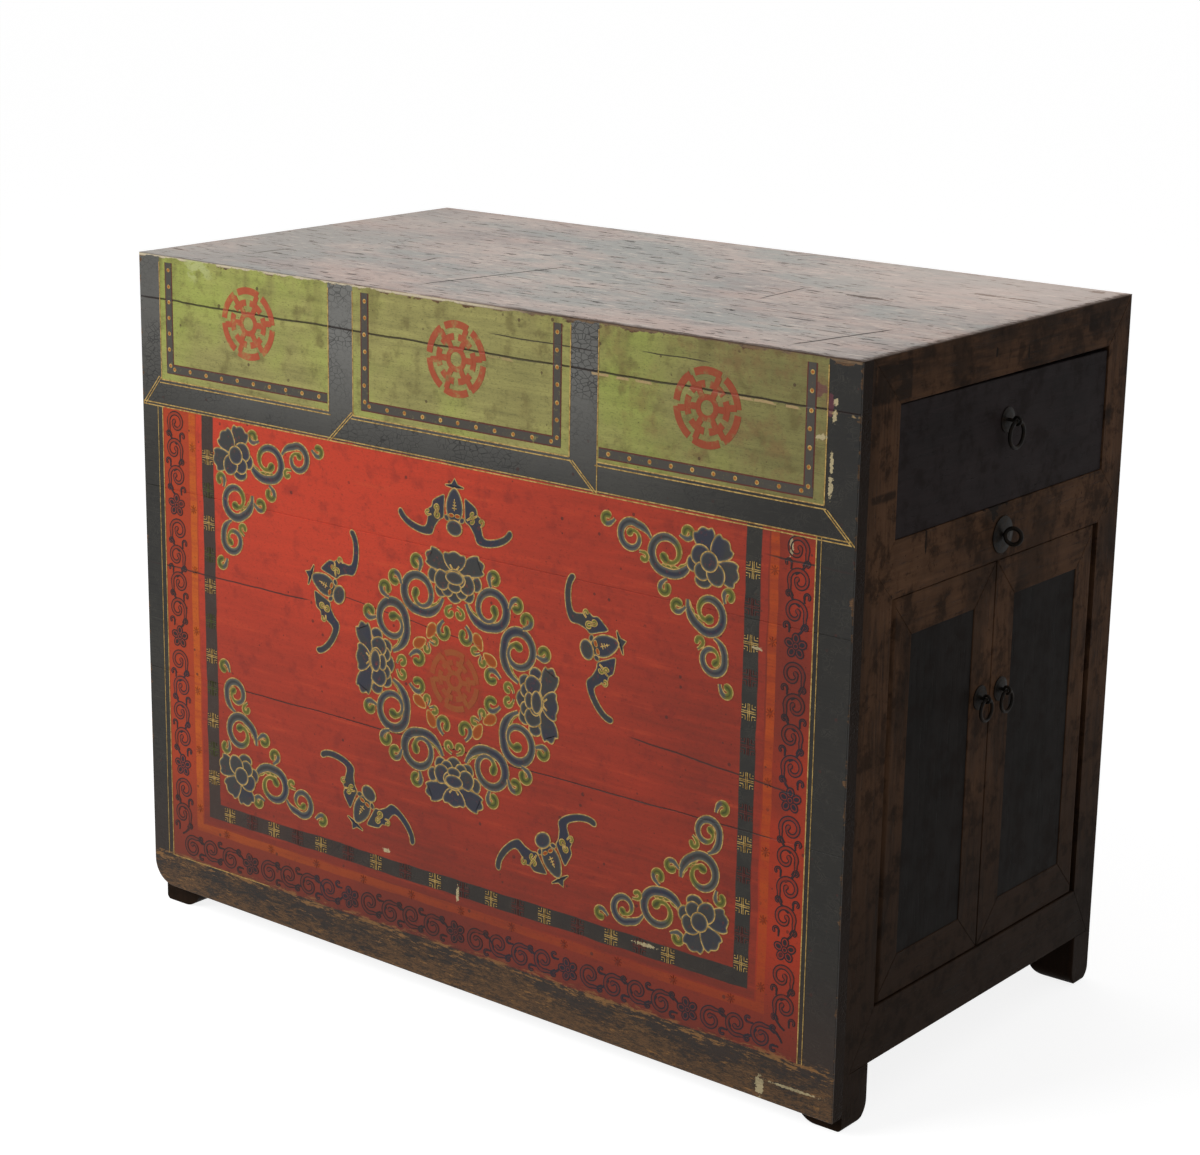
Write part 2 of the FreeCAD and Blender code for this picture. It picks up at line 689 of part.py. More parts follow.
kickers = []
stops = []
for side in ("left", "right"):
    under = row_y(side, "0", "runner_wide")
    beside = row_y(side, "0 - guide_wide", "0")
    runner_low = "drawer_low - runner_high"
    runner = box(f"{side}_runner_box", between_rails, under, (runner_low, "drawer_low"))
    guide = box(f"{side}_guide_box", between_posts, beside, (runner_low, "drawer_low + guide_rise"))
    kicker = box(f"{side}_kicker", between_rails, under, ("drawer_side_top + kicker_gap", "batten_low"))
    node(f"{side}_runner", runner)
    node(f"{side}_guide", guide)
    kickers.append(kicker)
    stop_end = "drawer_rear - stop_touch_gap"
    stops.append(box(f"{side}_drawer_stop", (f"{stop_end} - drawer_stop_long", stop_end), under,
                     ("drawer_low", "drawer_low + drawer_stop_high")))
node("kickers", group("kicker_pair", kickers))
node("drawer_stops", group("drawer_stop_pair", stops))

# Checks and export

doc.recompute()
faults = [item.Label for item in doc.Objects if "Invalid" in item.State or "Error" in item.State]
for label, item in nodes.items():
    if item.Shape.isNull() or not item.Shape.isValid() or not item.Shape.Solids:
        faults.append(label)
if faults:
    raise SystemExit("these objects failed: " + ", ".join(faults))

os.makedirs("parts", exist_ok=True)
for label, item in nodes.items():
    item.Shape.exportStep(f"parts/{label}.step")
print(len(nodes), "sub-parts written")
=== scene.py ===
# %% [markdown]
# # A painted cabinet
# The cabinet is a wooden case of boards and posts. Its long front is painted and lacquered, its top is bare
# and worn, and its end holds a drawer over two doors. The construction comes ready made as a fixed frame,
# so this lesson is about finishes: what lies on each piece of wood and iron, and the ornament that a
# painter laid on it.

# %% Load the frame
import math

import bmesh
import bpy
from mathutils import Matrix, Vector, noise


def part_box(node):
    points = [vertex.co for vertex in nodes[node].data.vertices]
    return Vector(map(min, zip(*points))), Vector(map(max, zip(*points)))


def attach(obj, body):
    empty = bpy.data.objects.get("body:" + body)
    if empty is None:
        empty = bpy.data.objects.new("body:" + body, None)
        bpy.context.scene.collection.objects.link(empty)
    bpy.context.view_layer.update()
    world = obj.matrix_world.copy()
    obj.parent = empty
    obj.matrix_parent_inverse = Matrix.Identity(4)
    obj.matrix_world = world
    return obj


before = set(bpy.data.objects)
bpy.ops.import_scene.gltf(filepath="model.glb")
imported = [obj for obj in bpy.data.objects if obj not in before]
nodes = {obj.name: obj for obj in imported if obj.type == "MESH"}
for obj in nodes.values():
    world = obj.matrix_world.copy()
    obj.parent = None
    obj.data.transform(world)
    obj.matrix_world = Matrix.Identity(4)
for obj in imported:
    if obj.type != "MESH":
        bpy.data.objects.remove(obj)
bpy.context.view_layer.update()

MM = 0.001

# %% [markdown]
# ## The camera
# The photograph was taken from in front of the painted side and to its right, from a little above the top.
# A long lens keeps the far edges nearly parallel. Euler angles are enough here, because the camera never
# moves.

# %% Camera
LENS = 83.05
CAMERA_PLACE = (1.97814, -2.58921, 1.3624)
CAMERA_ANGLES = (74.78405, -0.92784, 38.14993)


def new_object(name, data):
    """An object in the scene."""
    made = bpy.data.objects.new(name, data)
    bpy.context.scene.collection.objects.link(made)
    return made


camera_data = bpy.data.cameras.new("camera")
camera_data.lens = LENS
camera_data.clip_end = 50
camera = new_object("camera", camera_data)
camera.location = CAMERA_PLACE
camera.rotation_euler = [math.radians(angle) for angle in CAMERA_ANGLES]
bpy.context.scene.camera = camera
bpy.context.scene.view_settings.view_transform = "Standard"
print("camera at", [round(v, 2) for v in camera.location])

# %% [markdown]
# ## Helpers for nodes
# A material is a net of nodes. Writing each node and link by hand is long, so one class adds a node, fills
# its sockets with numbers or wires, and hands back the socket that carries the result. Colours are easier
# to pick as the 0 to 255 numbers of a screen, called tones here, and paint() turns a tone into the shader's
# linear values.

# %% Node helpers
FLOAT, COLOUR, VECTOR = "NodeSocketFloat", "NodeSocketColor", "NodeSocketVector"
SOFT = 0.0006


def linear(level):
    """One screen level, 0 to 255, as a linear share."""
    share = level / 255
    return share / 12.92 if share <= 0.04045 else ((share + 0.055) / 1.055) ** 2.4


def paint(tone):
    """A tone as linear RGBA."""
    return (*(linear(level) for level in tone), 1.0)


class Net:
    """Adds nodes to one tree. Most methods return the socket that holds their result."""

    def __init__(self, tree):
        self.tree = tree

    def fill(self, node, wires):
        """Gives a node's inputs their numbers and wires."""
        for name, value in wires.items():
            if isinstance(value, bpy.types.NodeSocket):
                self.tree.links.new(value, node.inputs[name])
            else:
                node.inputs[name].default_value = value

    def node(self, kind, wires, **settings):
        made = self.tree.nodes.new(kind)
        for name, value in settings.items():
            setattr(made, name, value)
        self.fill(made, wires)
        return made

    def call(self, group, wires):
        """The outputs of a node group."""
        return self.node("ShaderNodeGroup", wires, node_tree=group).outputs

    def strongest(self, group, shared, names, rows):
        """The strongest mask of a group that is placed once for each row of numbers."""
        return self.either(*(self.call(group, shared | dict(zip(names, row)))["Mask"] for row in rows))

    def math(self, operation, first, second=0.0, third=0.0, clamp=False):
        wires = {0: first, 1: second, 2: third}
        return self.node("ShaderNodeMath", wires, operation=operation, use_clamp=clamp).outputs[0]

    def minus(self, first, second):
        return self.math("SUBTRACT", first, second)

    def times(self, first, *others):
        for other in others:
            first = self.math("MULTIPLY", first, other)
        return first

    def either(self, first, *others):
        for other in others:
            first = self.math("MAXIMUM", first, other)
        return first

    def add(self, value, factor, base, clamp=False):
        """Value times factor, plus base."""
        return self.math("MULTIPLY_ADD", value, factor, base, clamp)

    def sway(self, value, strength, base, clamp=False):
        """Moves base up and down by noise, which lies round a half."""
        return self.add(self.minus(value, 0.5), strength, base, clamp)

    def spread(self, value, low, high, to_low=0.0, to_high=1.0):
        """Maps low..high to to_low..to_high with soft ends. It runs downwards when low is above high."""
        wires = {"Value": value, "From Min": low, "From Max": high, "To Min": to_low, "To Max": to_high}
        return self.node("ShaderNodeMapRange", wires, interpolation_type="SMOOTHSTEP").outputs[0]

    def meet(self, *masks):
        """Where several masks meet. Each is a socket, a number or what spread() takes."""
        return self.times(*(self.spread(*mask) if isinstance(mask, tuple) else mask for mask in masks))

    def within(self, value, low, high, soft=SOFT):
        """1 between low and high, 0 outside, with a soft edge."""
        return self.meet((value, low - soft, low + soft), (value, high + soft, high - soft))

    def mix(self, share, first, second):
        """Blends two colours, each a socket or a tone."""
        first, second = (paint(tone) if isinstance(tone, tuple) else tone for tone in (first, second))
        return self.node("ShaderNodeMix", {0: share, 6: first, 7: second}, data_type="RGBA").outputs[2]

    def lay(self, colour, *coats):
        """Lays coats over a colour. A coat is a share and a tone. With three numbers between them, the share
        starts at the first, is full at the second and then has the third as its strength."""
        for share, *reach, tone in coats:
            if reach:
                start, full, strength = reach
                share = self.spread(share, start, full, 0.0, strength)
            colour = self.mix(share, colour, tone)
        return colour

    def vector(self, operation, first, second):
        return self.node("ShaderNodeVectorMath", {0: first, 1: second}, operation=operation).outputs[0]

    def clouds(self, place, scale, detail=4.0, roughness=0.55, stretch=None):
        """Noise. Stretch multiplies each axis first, so the clouds shrink along it."""
        if stretch:
            place = self.vector("MULTIPLY", place, stretch)
        wires = {"Vector": place, "Scale": scale, "Detail": detail, "Roughness": roughness}
        return self.node("ShaderNodeTexNoise", wires).outputs[0]

    def cells(self, place, scale, stretch=None, feature="F1"):
        """The outputs of a pattern of cells."""
        if stretch:
            place = self.vector("MULTIPLY", place, stretch)
        return self.node("ShaderNodeTexVoronoi", {"Vector": place, "Scale": scale}, feature=feature).outputs

    def specks(self, place, scale, rarest, biggest, stretch=None, ragged=None):
        """Dots in the cells whose random number is above rarest. Ragged noise frays their edges."""
        cell = self.cells(place, scale, stretch)
        size = self.spread(cell["Color"], rarest, 1.0, 0.0, biggest)
        away = self.sway(ragged, 0.12, cell["Distance"]) if ragged else cell["Distance"]
        return self.math("GREATER_THAN", size, away)

    def ramp(self, value, places, tones):
        """A tone for each place along a value."""
        made = self.node("ShaderNodeValToRGB", {0: value})
        points = made.color_ramp.elements
        while len(points) < len(places):
            points.new(0.5)
        for point, place, tone in zip(points, places, tones):
            point.position = place
            point.color = paint(tone)
        return made.outputs[0]

    def place(self):
        """Where a point lies on the cabinet, in metres."""
        return self.node("ShaderNodeTexCoord", {}).outputs["Object"]

    def axes(self, vector):
        return tuple(self.node("ShaderNodeSeparateXYZ", {0: vector}).outputs)

    def wander(self, place):
        """Noise round zero that is the same at every height."""
        return self.minus(self.clouds(place, 11.0, 6.0, 0.6, (1, 1, 0)), 0.5)


def new_group(name, inputs, outputs):
    """An empty node group with named sockets: tree, net, the inputs and the output node."""
    tree = bpy.data.node_groups.new(name, "ShaderNodeTree")
    for way, sockets in (("INPUT", inputs), ("OUTPUT", outputs)):
        for socket, kind in sockets.items():
            tree.interface.new_socket(socket, in_out=way, socket_type=kind)
    return tree, Net(tree), tree.nodes.new("NodeGroupInput").outputs, tree.nodes.new("NodeGroupOutput")


FINISH = {"Colour": COLOUR, "Roughness": FLOAT, "Height": FLOAT}

# %% [markdown]
# ## Where the paint lies on the front
# The painter divided the front in two: a black frame with three green panels along the top, and a red field
# below, with a border on three sides. All of it is measured here in metres, in the cabinet's own axes,
# because both the paint in the shader and the ornament in the mesh follow these lines.

# %% Layout of the front
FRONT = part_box("front_board_2")[0].y
LEFT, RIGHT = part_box("front_board_2")[0].x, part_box("front_board_2")[1].x
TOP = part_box("front_board_4")[1].z
PANELS = [(-0.5023, -0.2209), (-0.1823, 0.1391), (0.1777, 0.4724)]
PANEL_FOOT = 0.6965
RAIL_FOOT = 0.6625
FIELD_LEFT, FIELD_RIGHT, FIELD_FOOT = -0.5023, 0.465, 0.075
# the border's bands, as distances from the edge of the red field
SCROLL_BAND, ORANGE_BAND, CHARCOAL_BAND = (0.002, 0.04), (0.045, 0.056), (0.0675, 0.0875)
MEDALLION = Vector((-0.0256, 0.4067))
DISC_RADIUS = 0.041
print(f"front face at y = {FRONT:.3f}, red field {FIELD_RIGHT - FIELD_LEFT:.3f} m wide")

# %% [markdown]
# ## Cracks, specks and chips
# Old lacquer is told by its faults. A crack runs along the grain: it is a line that wanders a little, so it
# is drawn as the distance to a sloping line that noise bends. The group has the ends and the slope as
# inputs, and is placed once for each crack.

# %% Crack group
CRACK = ("From", "To", "Height", "Slope", "Width")
END_FADE, CRACK_SWAY, CRACK_GAIN = 40.0, 0.006, 2.2
crack_inputs = dict.fromkeys(("Along", "Up", "Wander") + CRACK, FLOAT)
crack_group, net, given, result = new_group("crack", crack_inputs, {"Mask": FLOAT})
run = net.minus(given["Along"], given["From"])
line_height = net.add(given["Wander"], CRACK_SWAY, net.add(run, given["Slope"], given["Height"]))
off_line = net.math("ABSOLUTE", net.minus(given["Up"], line_height))
near = net.math("SUBTRACT", 1.0, net.math("DIVIDE", off_line, given["Width"]), clamp=True)
after_start = net.math("MULTIPLY", run, END_FADE, clamp=True)
before_end = net.math("MULTIPLY", net.minus(given["To"], given["Along"]), END_FADE, clamp=True)
net.fill(result, {"Mask": net.times(near, after_start, before_end)})


def draw_cracks(net, along, up, wander, cracks):
    """The darkest of several cracks: start, end, height at the start, slope and half width of each."""
    shared = {"Along": along, "Up": up, "Wander": wander}
    return net.math("MULTIPLY", net.strongest(crack_group, shared, CRACK, cracks), CRACK_GAIN, clamp=True)


print("crack group has", len(crack_group.nodes), "nodes")

# %% [markdown]
# A chip or a smear is a blot: an ellipse with a ragged edge. The group takes its middle and its half sizes.

# %% Blot group
BLOT = ("Middle", "Level", "Half Across", "Half Up")
RAGGEDNESS = 3.2
blot_inputs = dict.fromkeys(("Across", "Up", "Ragged") + BLOT, FLOAT)
blot_group, net, given, result = new_group("blot", blot_inputs, {"Mask": FLOAT})
squares = []
for where, middle, half in (("Across", "Middle", "Half Across"), ("Up", "Level", "Half Up")):
    off = net.math("DIVIDE", net.minus(given[where], given[middle]), given[half])
    squares.append(net.times(off, off))
away = net.sway(given["Ragged"], RAGGEDNESS, net.math("SQRT", net.math("ADD", *squares)))
net.fill(result, {"Mask": net.spread(away, 1.05, 0.9)})


def draw_blots(net, across, up, ragged, blots):
    """Several blots in one mask. Each is a middle, a level and two half sizes."""
    return net.strongest(blot_group, {"Across": across, "Up": up, "Ragged": ragged}, BLOT, blots)


print("blot group has", len(blot_group.nodes), "nodes")

# %% [markdown]
# ## The ground of the front
# The ground is everything that the brush filled in: red, green, black and the plain bands of the border. It
# is one group on Object coordinates, so that all four boards, and the ornament laid over them, find the
# same colour at the same spot. The border bands only need one number: how far a point lies inside the red
# field. The group also paints light and shade into the colour: a painted sheen high on the black, a red
# that is painted darker towards the foot, painted highlights on the craze and painted shade low down.

# %% Ground group: the pattern
LACQUER_COAT, WAX_COAT, COAT_ROUGHNESS = 0.44, 0.9, 0.4
ground_and_painted_light_group, net, _, result = new_group("front ground and painted light", {}, FINISH | {"Worn": FLOAT, "Coat": FLOAT})
place = net.place()
true_x, true_y, true_z = net.axes(place)
wobble = net.node("ShaderNodeTexNoise", {"Vector": place, "Scale": 26.0, "Detail": 2.0}).outputs["Color"]
wobble = net.vector("MULTIPLY", net.vector("SUBTRACT", wobble, (0.5, 0.5, 0.5)), (0.004, 0.004, 0.004))
x, _, z = net.axes(net.vector("ADD", place, wobble))

inset = net.math("MINIMUM", net.minus(x, FIELD_LEFT), net.minus(FIELD_RIGHT, x))
inset = net.math("MINIMUM", inset, net.minus(z, FIELD_FOOT))
field = net.meet((inset, -SOFT, SOFT), (z, RAIL_FOOT + SOFT, RAIL_FOOT - SOFT))
panel = net.either(*(net.within(x, *sides) for sides in PANELS))
panel = net.meet(panel, (z, PANEL_FOOT - SOFT, PANEL_FOOT + SOFT))

broad = net.clouds(place, 3.2, 5.0, 0.6)
streaks = net.clouds(place, 9.0, 6.0, 0.65, (1, 1, 14))
mottle = net.clouds(place, 45.0, 4.0, 0.6)
fine = net.clouds(place, 220.0, 3.0, 0.6, (1, 1, 6))
scratches = net.clouds(place, 26.0, 8.0, 0.8, (1, 1, 26))
grit = net.clouds(place, 260.0, 4.0, 0.7)

# painted light and shade: the red is painted lighter towards the top and darker towards the foot, and it is
# also lighter towards the left; noise sways it as the paint's own unevenness
red_painted_light_and_mottle = net.meet((true_z, 0.05, 0.62, 0.15, 1.0), (true_x, 0.55, -0.3, 0.35, 1.0))
red_painted_light_and_mottle = net.sway(streaks, 0.7, net.sway(broad, 0.8, red_painted_light_and_mottle), clamp=True)
disc_place = net.vector("MULTIPLY", place, (1, 0, 1))
off_middle = net.node("ShaderNodeVectorMath", {0: disc_place, 1: (MEDALLION.x, 0, MEDALLION.y)},
                      operation="DISTANCE").outputs["Value"]
red = net.lay(
    net.mix(red_painted_light_and_mottle, (112, 40, 26), (194, 62, 38)),
    (mottle, 0.5, 0.72, 0.4, (108, 32, 26)),
    (streaks, 0.56, 0.8, 0.3, (198, 88, 50)),
    (scratches, 0.6, 0.7, 0.45, (92, 30, 24)),
    (scratches, 0.38, 0.3, 0.35, (206, 104, 66)),
    (off_middle, DISC_RADIUS + 0.006, DISC_RADIUS - 0.004, 0.22, (126, 66, 30)))

green_light = net.sway(streaks, 1.1, broad, clamp=True)
brown_run = net.clouds(place, 6.0, 4.0, 0.6, (5, 1, 0.6))
brown_run = net.meet((brown_run, 0.46, 0.72, 0.0, 0.5), (true_z, 0.76, 0.85))
dust = net.meet((net.clouds(place, 17.0, 6.0, 0.7), 0.46, 0.62, 0.0, 0.5), (true_x, 0.0, 0.3))
green = net.lay(
    net.mix(green_light, (112, 107, 64), (186, 179, 108)),
    (broad, 0.46, 0.62, 0.55, (152, 170, 72)),
    (true_x, 0.05, 0.45, 0.45, (84, 78, 44)),
    (brown_run, (92, 74, 44)),
    (mottle, 0.5, 0.7, 0.55, (96, 84, 44)),
    (fine, 0.55, 0.75, 0.35, (60, 62, 30)),
    (dust, (122, 88, 56)),
    (scratches, 0.58, 0.68, 0.5, (72, 70, 34)),
    (scratches, 0.4, 0.3, 0.4, (176, 178, 96)))

# painted shade: the border red is painted darker towards the foot; it is also more orange towards the left
border_red = net.lay(
    net.mix(net.spread(broad, 0.4, 0.62), (118, 40, 24), (170, 54, 28)),
    (true_x, 0.0, -0.46, 0.75, (172, 62, 26)),
    (true_z, 0.22, 0.07, 0.7, (108, 40, 30)))
orange = net.lay(net.mix(mottle, (150, 48, 22), (190, 84, 24)), (true_x, 0.0, -0.46, 0.7, (198, 98, 24)))
charcoal = net.lay(net.mix(mottle, (24, 24, 22), (46, 43, 36)), (true_x, 0.0, -0.45, 0.7, (60, 42, 34)))

# painted sheen: the black is painted pale grey high on the upper stiles and rails, fading to the right and at
# the far left, as a painted reflection in the lacquer
painted_sheen = net.meet((true_z, 0.6, 0.81, 0.0, 0.85), (true_x, 0.5, 0.0), (true_x, -0.35, -0.52, 1.0, 0.55))
black = net.lay(
    net.mix(net.spread(broad, 0.35, 0.65), (24, 23, 20), (44, 42, 36)),
    (mottle, 0.5, 0.7, 0.5, (22, 21, 19)),
    (scratches, 0.5, 0.62, 0.8, (12, 11, 10)),
    (scratches, 0.42, 0.32, 0.6, (78, 75, 66)),
    (true_x, 0.2, 0.5, 0.7, (22, 20, 16)),
    (painted_sheen, (122, 121, 117)))

outer = net.meet(field, (inset, 0.0585, 0.0575))
orange_share = net.meet((streaks, 0.3, 0.6, 0.35, 0.95), (true_z, 0.11, 0.2, 0.55, 1.0), field,
                        net.within(inset, *ORANGE_BAND))
band = net.times(field, net.within(inset, *CHARCOAL_BAND))
colour = net.lay(black, (field, red), (outer, border_red), (orange_share, orange), (band, charcoal),
                 (panel, green))
print("ground pattern:", len(ground_and_painted_light_group.nodes), "nodes so far")

# %% [markdown]
# The second half of the group ages that pattern. Black lacquer crazes into a net of small cells, whose
# edges get a painted highlight, the low parts are painted darker as painted shade, knocks have left dark
# specks, and along every edge of the front the paint has chipped down to the brown wood. Chips follow the
# distance to the edge, and noise decides where along the edge they fall.

# %% Ground group: the age
dark_paint = net.either(net.minus(1.0, net.either(field, panel)), band)
craze = net.cells(place, 115.0, (1, 1, 1.5), "DISTANCE_TO_EDGE")["Distance"]
craze_line = net.meet((craze, 0.07, 0.0), dark_paint, (net.clouds(place, 12.0), 0.42, 0.62))
# painted highlight: the edges of the craze cells are painted lighter, as glints on the black lacquer
painted_craze_highlight = net.meet((craze, 0.04, 0.1), (craze, 0.2, 0.1), dark_paint, (mottle, 0.46, 0.6, 0.0, 0.22))

wander = net.wander(place)
crack_dark = draw_cracks(net, true_x, true_z, wander, [
    # from x, to x, height at the start, slope, half width
    (-0.545, 0.52, 0.796, 0.0, 0.0015),
    (-0.38, 0.43, 0.323, 0.0, 0.0009),
    (-0.54, -0.25, 0.46, 0.0, 0.0012),
    (0.225, 0.46, 0.395, -0.07, 0.0012),
    (0.4, 0.52, 0.633, -0.025, 0.0014),
    (0.02, 0.18, 0.819, -0.01, 0.0009),
    (0.23, 0.33, 0.826, -0.01, 0.0008),
    (-0.25, 0.02, 0.48, -0.09, 0.0007)])
below_crack = net.within(net.add(wander, -CRACK_SWAY, true_z), 0.7918, 0.7946)
flakes = net.meet(below_crack, (mottle, 0.5, 0.56, 0.0, 0.85), (true_x, -0.05, 0.12))
# painted shade: the low part of the front is painted darker brown towards the foot, broken up by noise
low_painted_shade = net.meet((true_z, 0.24, 0.04, 0.0, 0.38), (broad, 0.3, 0.6, 0.55, 1.0))
colour = net.lay(
    colour,
    (painted_craze_highlight, (86, 83, 74)),
    (net.times(craze_line, 0.8), (14, 13, 12)),
    (net.meet(net.specks(place, 60.0, 0.62, 0.17), (mottle, 0.35, 0.55), 0.7), (58, 28, 22)),
    (net.times(net.specks(place, 120.0, 0.72, 0.2), 0.6), (38, 24, 18)),
    (net.times(net.specks(place, 135.0, 0.9, 0.2), 0.6), (206, 170, 122)),
    (net.times(crack_dark, 0.85), (34, 22, 18)),
    (flakes, (182, 154, 110)),
    (net.times(net.specks(place, 15.0, 0.72, 0.05, (1, 1, 1.6), mottle), 0.85), (186, 158, 118)),
    (low_painted_shade, (60, 36, 24)))

edge_noise = net.clouds(place, 34.0, 6.0, 0.68, (1, 1, 1.6))
top_gap = net.minus(TOP, true_z)
side_gap = net.math("MINIMUM", net.minus(true_x, LEFT), net.minus(RIGHT, true_x))
chip_depth = net.either(net.minus(net.spread(edge_noise, 0.38, 0.76, 0.001, 0.0075), top_gap),
                        net.minus(net.spread(edge_noise, 0.46, 0.8, -0.001, 0.008), side_gap))
foot_noise = net.clouds(place, 60.0, 14.0, 0.9, (1, 1, 4.2))
foot_share = net.sway(net.clouds(place, 9.0, 5.0, 0.65, (1, 1, 2)), 0.6, foot_noise)
foot_share = net.add(net.spread(true_z, 0.085, 0.015), 0.16, foot_share)
foot_worn = net.meet((foot_share, 0.545, 0.58), (true_z, 0.084, 0.066))
on_front = net.spread(true_y, FRONT + 0.003, FRONT + 0.0012)
worn = net.times(net.either(net.spread(chip_depth, -SOFT, SOFT), foot_worn), on_front)
pale = net.meet((true_x, 0.1, 0.0, 0.1, 1.0), (edge_noise, 0.34, 0.44), (top_gap, 0.0046, 0.0024))
bare_wood = net.lay(
    net.mix(streaks, (76, 54, 34), (122, 88, 54)),
    (fine, 0.44, 0.64, 0.65, (44, 34, 25)),
    (scratches, 0.54, 0.62, 0.8, (34, 27, 20)),
    (pale, (204, 190, 162)))
low_part = net.spread(true_z, 0.086, 0.072)
ochre = net.clouds(place, 44.0, 8.0, 0.75, (1, 1, 5))
ochre = net.add(net.within(true_z, 0.066, 0.08, 0.006), 0.09, ochre)
colour = net.lay(
    colour,
    (worn, bare_wood),
    (net.meet((foot_noise, 0.5, 0.45, 0.0, 0.8), low_part), (24, 21, 16)),
    (net.meet((ochre, 0.585, 0.63, 0.0, 0.8), low_part, on_front), (150, 108, 62)))
colour = net.mix(on_front, net.mix(streaks, (28, 21, 16), (48, 34, 25)), colour)

pale_blots = draw_blots(net, true_x, true_z, grit, [
    (0.4795, 0.741, 0.0022, 0.01), (0.479, 0.718, 0.0026, 0.012), (0.466, 0.7665, 0.0075, 0.003),
    (0.482, 0.805, 0.0026, 0.004), (0.481, 0.79, 0.0024, 0.006), (0.4345, 0.648, 0.0022, 0.011),
    (0.46, 0.043, 0.03, 0.0016), (0.396, 0.529, 0.0065, 0.0018), (0.417, 0.035, 0.0055, 0.011),
    (-0.02, 0.145, 0.0022, 0.01), (-0.133, 0.172, 0.005, 0.003), (0.256, 0.156, 0.016, 0.0022)])
smear = draw_blots(net, true_x, true_z, edge_noise, [
    (0.459, 0.817, 0.012, 0.008), (0.475, 0.8, 0.004, 0.012)])
chip_patch = net.meet(net.within(true_x, -0.458, -0.414, 0.012), (true_z, 0.812, 0.84))
chip_patch = net.meet(chip_patch, (net.add(chip_patch, 0.16, edge_noise), 0.6, 0.66))
colour = net.lay(
    colour,
    (net.times(pale_blots, 0.9), (192, 176, 136)),
    (net.times(smear, 0.7), (100, 50, 60)),
    (chip_patch, (176, 180, 118)),
    (fine, 0.52, 0.8, 0.34, (30, 22, 18)),
    (grit, 0.54, 0.7, 0.32, (34, 24, 18)))

roughness = net.add(worn, 0.3, net.add(mottle, 0.22, 0.3))
height = net.add(worn, -0.5, net.times(streaks, 0.3))
height = net.add(fine, 0.12, net.add(craze_line, -1.0, net.add(crack_dark, -0.8, height)))
height = net.add(grit, net.spread(dark_paint, 0.0, 1.0, 0.25, 1.1), height)
coat = net.spread(on_front, 0.0, 1.0, 0.0, LACQUER_COAT)
net.fill(result, {"Colour": colour, "Roughness": roughness, "Height": height,
                  "Worn": net.either(worn, pale_blots), "Coat": coat})
print("ground group:", len(ground_and_painted_light_group.nodes), "nodes")

# %% [markdown]
# ## Putting a finish on the shader
# Each material has one Principled BSDF. The groups bring colour, roughness and height, and a Bump node
# turns height into small dents. The bump distance is written in metres, so a lacquer crack is a few tenths
# of a millimetre deep. Wax and lacquer are a clear coat: its weight is a mask, so it can stop at an edge or
# a chip.

# %% Material maker
LACQUER_SHINE, OILED_SHINE, IRON_SHINE = 0.22, 0.02, 0.04


def new_material(name, draw, shine=OILED_SHINE, dent=0.4 * MM, metal=0.0):
    """A material. Draw gets its net and returns colour, roughness, height and, for a coated one, the coat."""
    made = bpy.data.materials.new(name)
    made.use_nodes = True
    net = Net(made.node_tree)
    colour, roughness, height, *coat = draw(net)
    bump = net.node("ShaderNodeBump", {"Strength": 1.0, "Distance": dent, "Height": height})
    wires = {"Base Color": colour, "Roughness": roughness, "Normal": bump.outputs[0],
             "Specular IOR Level": shine, "Metallic": metal}
    if coat:
        wires |= {"Coat Weight": coat[0], "Coat Roughness": COAT_ROUGHNESS}
    net.fill(made.node_tree.nodes["Principled BSDF"], wires)
    return made


print("a material is a shader, a bump and whatever the groups bring")

# %% [markdown]
# ## Wood
# The case is dark, oiled softwood. Its grain runs along each piece, so the pattern has to be stretched
# along Z on a post, along Y on an end rail and along X on a board. One group makes the grain in a long thin
# space, and each wood material gives it that stretch and its own three tones.

# %% Wood grain group
THREE_TONES = ("Dark", "Middle", "Light")
grain_inputs = {"Stretch": VECTOR, "Stain": FLOAT} | dict.fromkeys(THREE_TONES, COLOUR)
grain_group, net, given, result = new_group("wood grain", grain_inputs, FINISH)
place = net.place()
drawn = net.vector("MULTIPLY", place, given["Stretch"])
bent = net.node("ShaderNodeTexNoise", {"Vector": drawn, "Scale": 2.5, "Detail": 3.0, "Distortion": 0.6})
rings = net.math("FRACT", net.times(bent.outputs[0], 9.0))
rings = net.math("ABSOLUTE", net.add(rings, 2.0, -1.0))
fibres = net.clouds(drawn, 38.0, 8.0, 0.7)
patches = net.clouds(place, 5.5, 5.0, 0.62)
dirt = net.clouds(place, 38.0, 5.0, 0.65)
tone = net.sway(patches, 1.5, net.add(rings, 0.18, net.times(fibres, 0.8)), clamp=True)
pores = net.spread(fibres, 0.42, 0.3)
colour = net.lay(
    given["Dark"],
    (tone, 0.15, 0.6, 1.0, given["Middle"]),
    (tone, 0.55, 0.95, 1.0, given["Light"]),
    (net.times(pores, 0.5), (22, 15, 11)),
    (net.meet((dirt, 0.48, 0.64), given["Stain"]), (26, 18, 14)))
net.fill(result, {"Colour": colour, "Roughness": net.add(dirt, 0.3, 0.36),
                  "Height": net.add(pores, -0.6, net.times(fibres, 0.5))})


def grain(net, stretch, tones, stain):
    """Colour, roughness and height of one wood. Its grain runs along the axis with the smallest stretch."""
    tones = dict(zip(THREE_TONES, map(paint, tones)))
    return net.call(grain_group, {"Stretch": stretch, "Stain": stain} | tones)


def wood(name, *grain_numbers):
    return new_material(name, lambda net: grain(net, *grain_numbers))


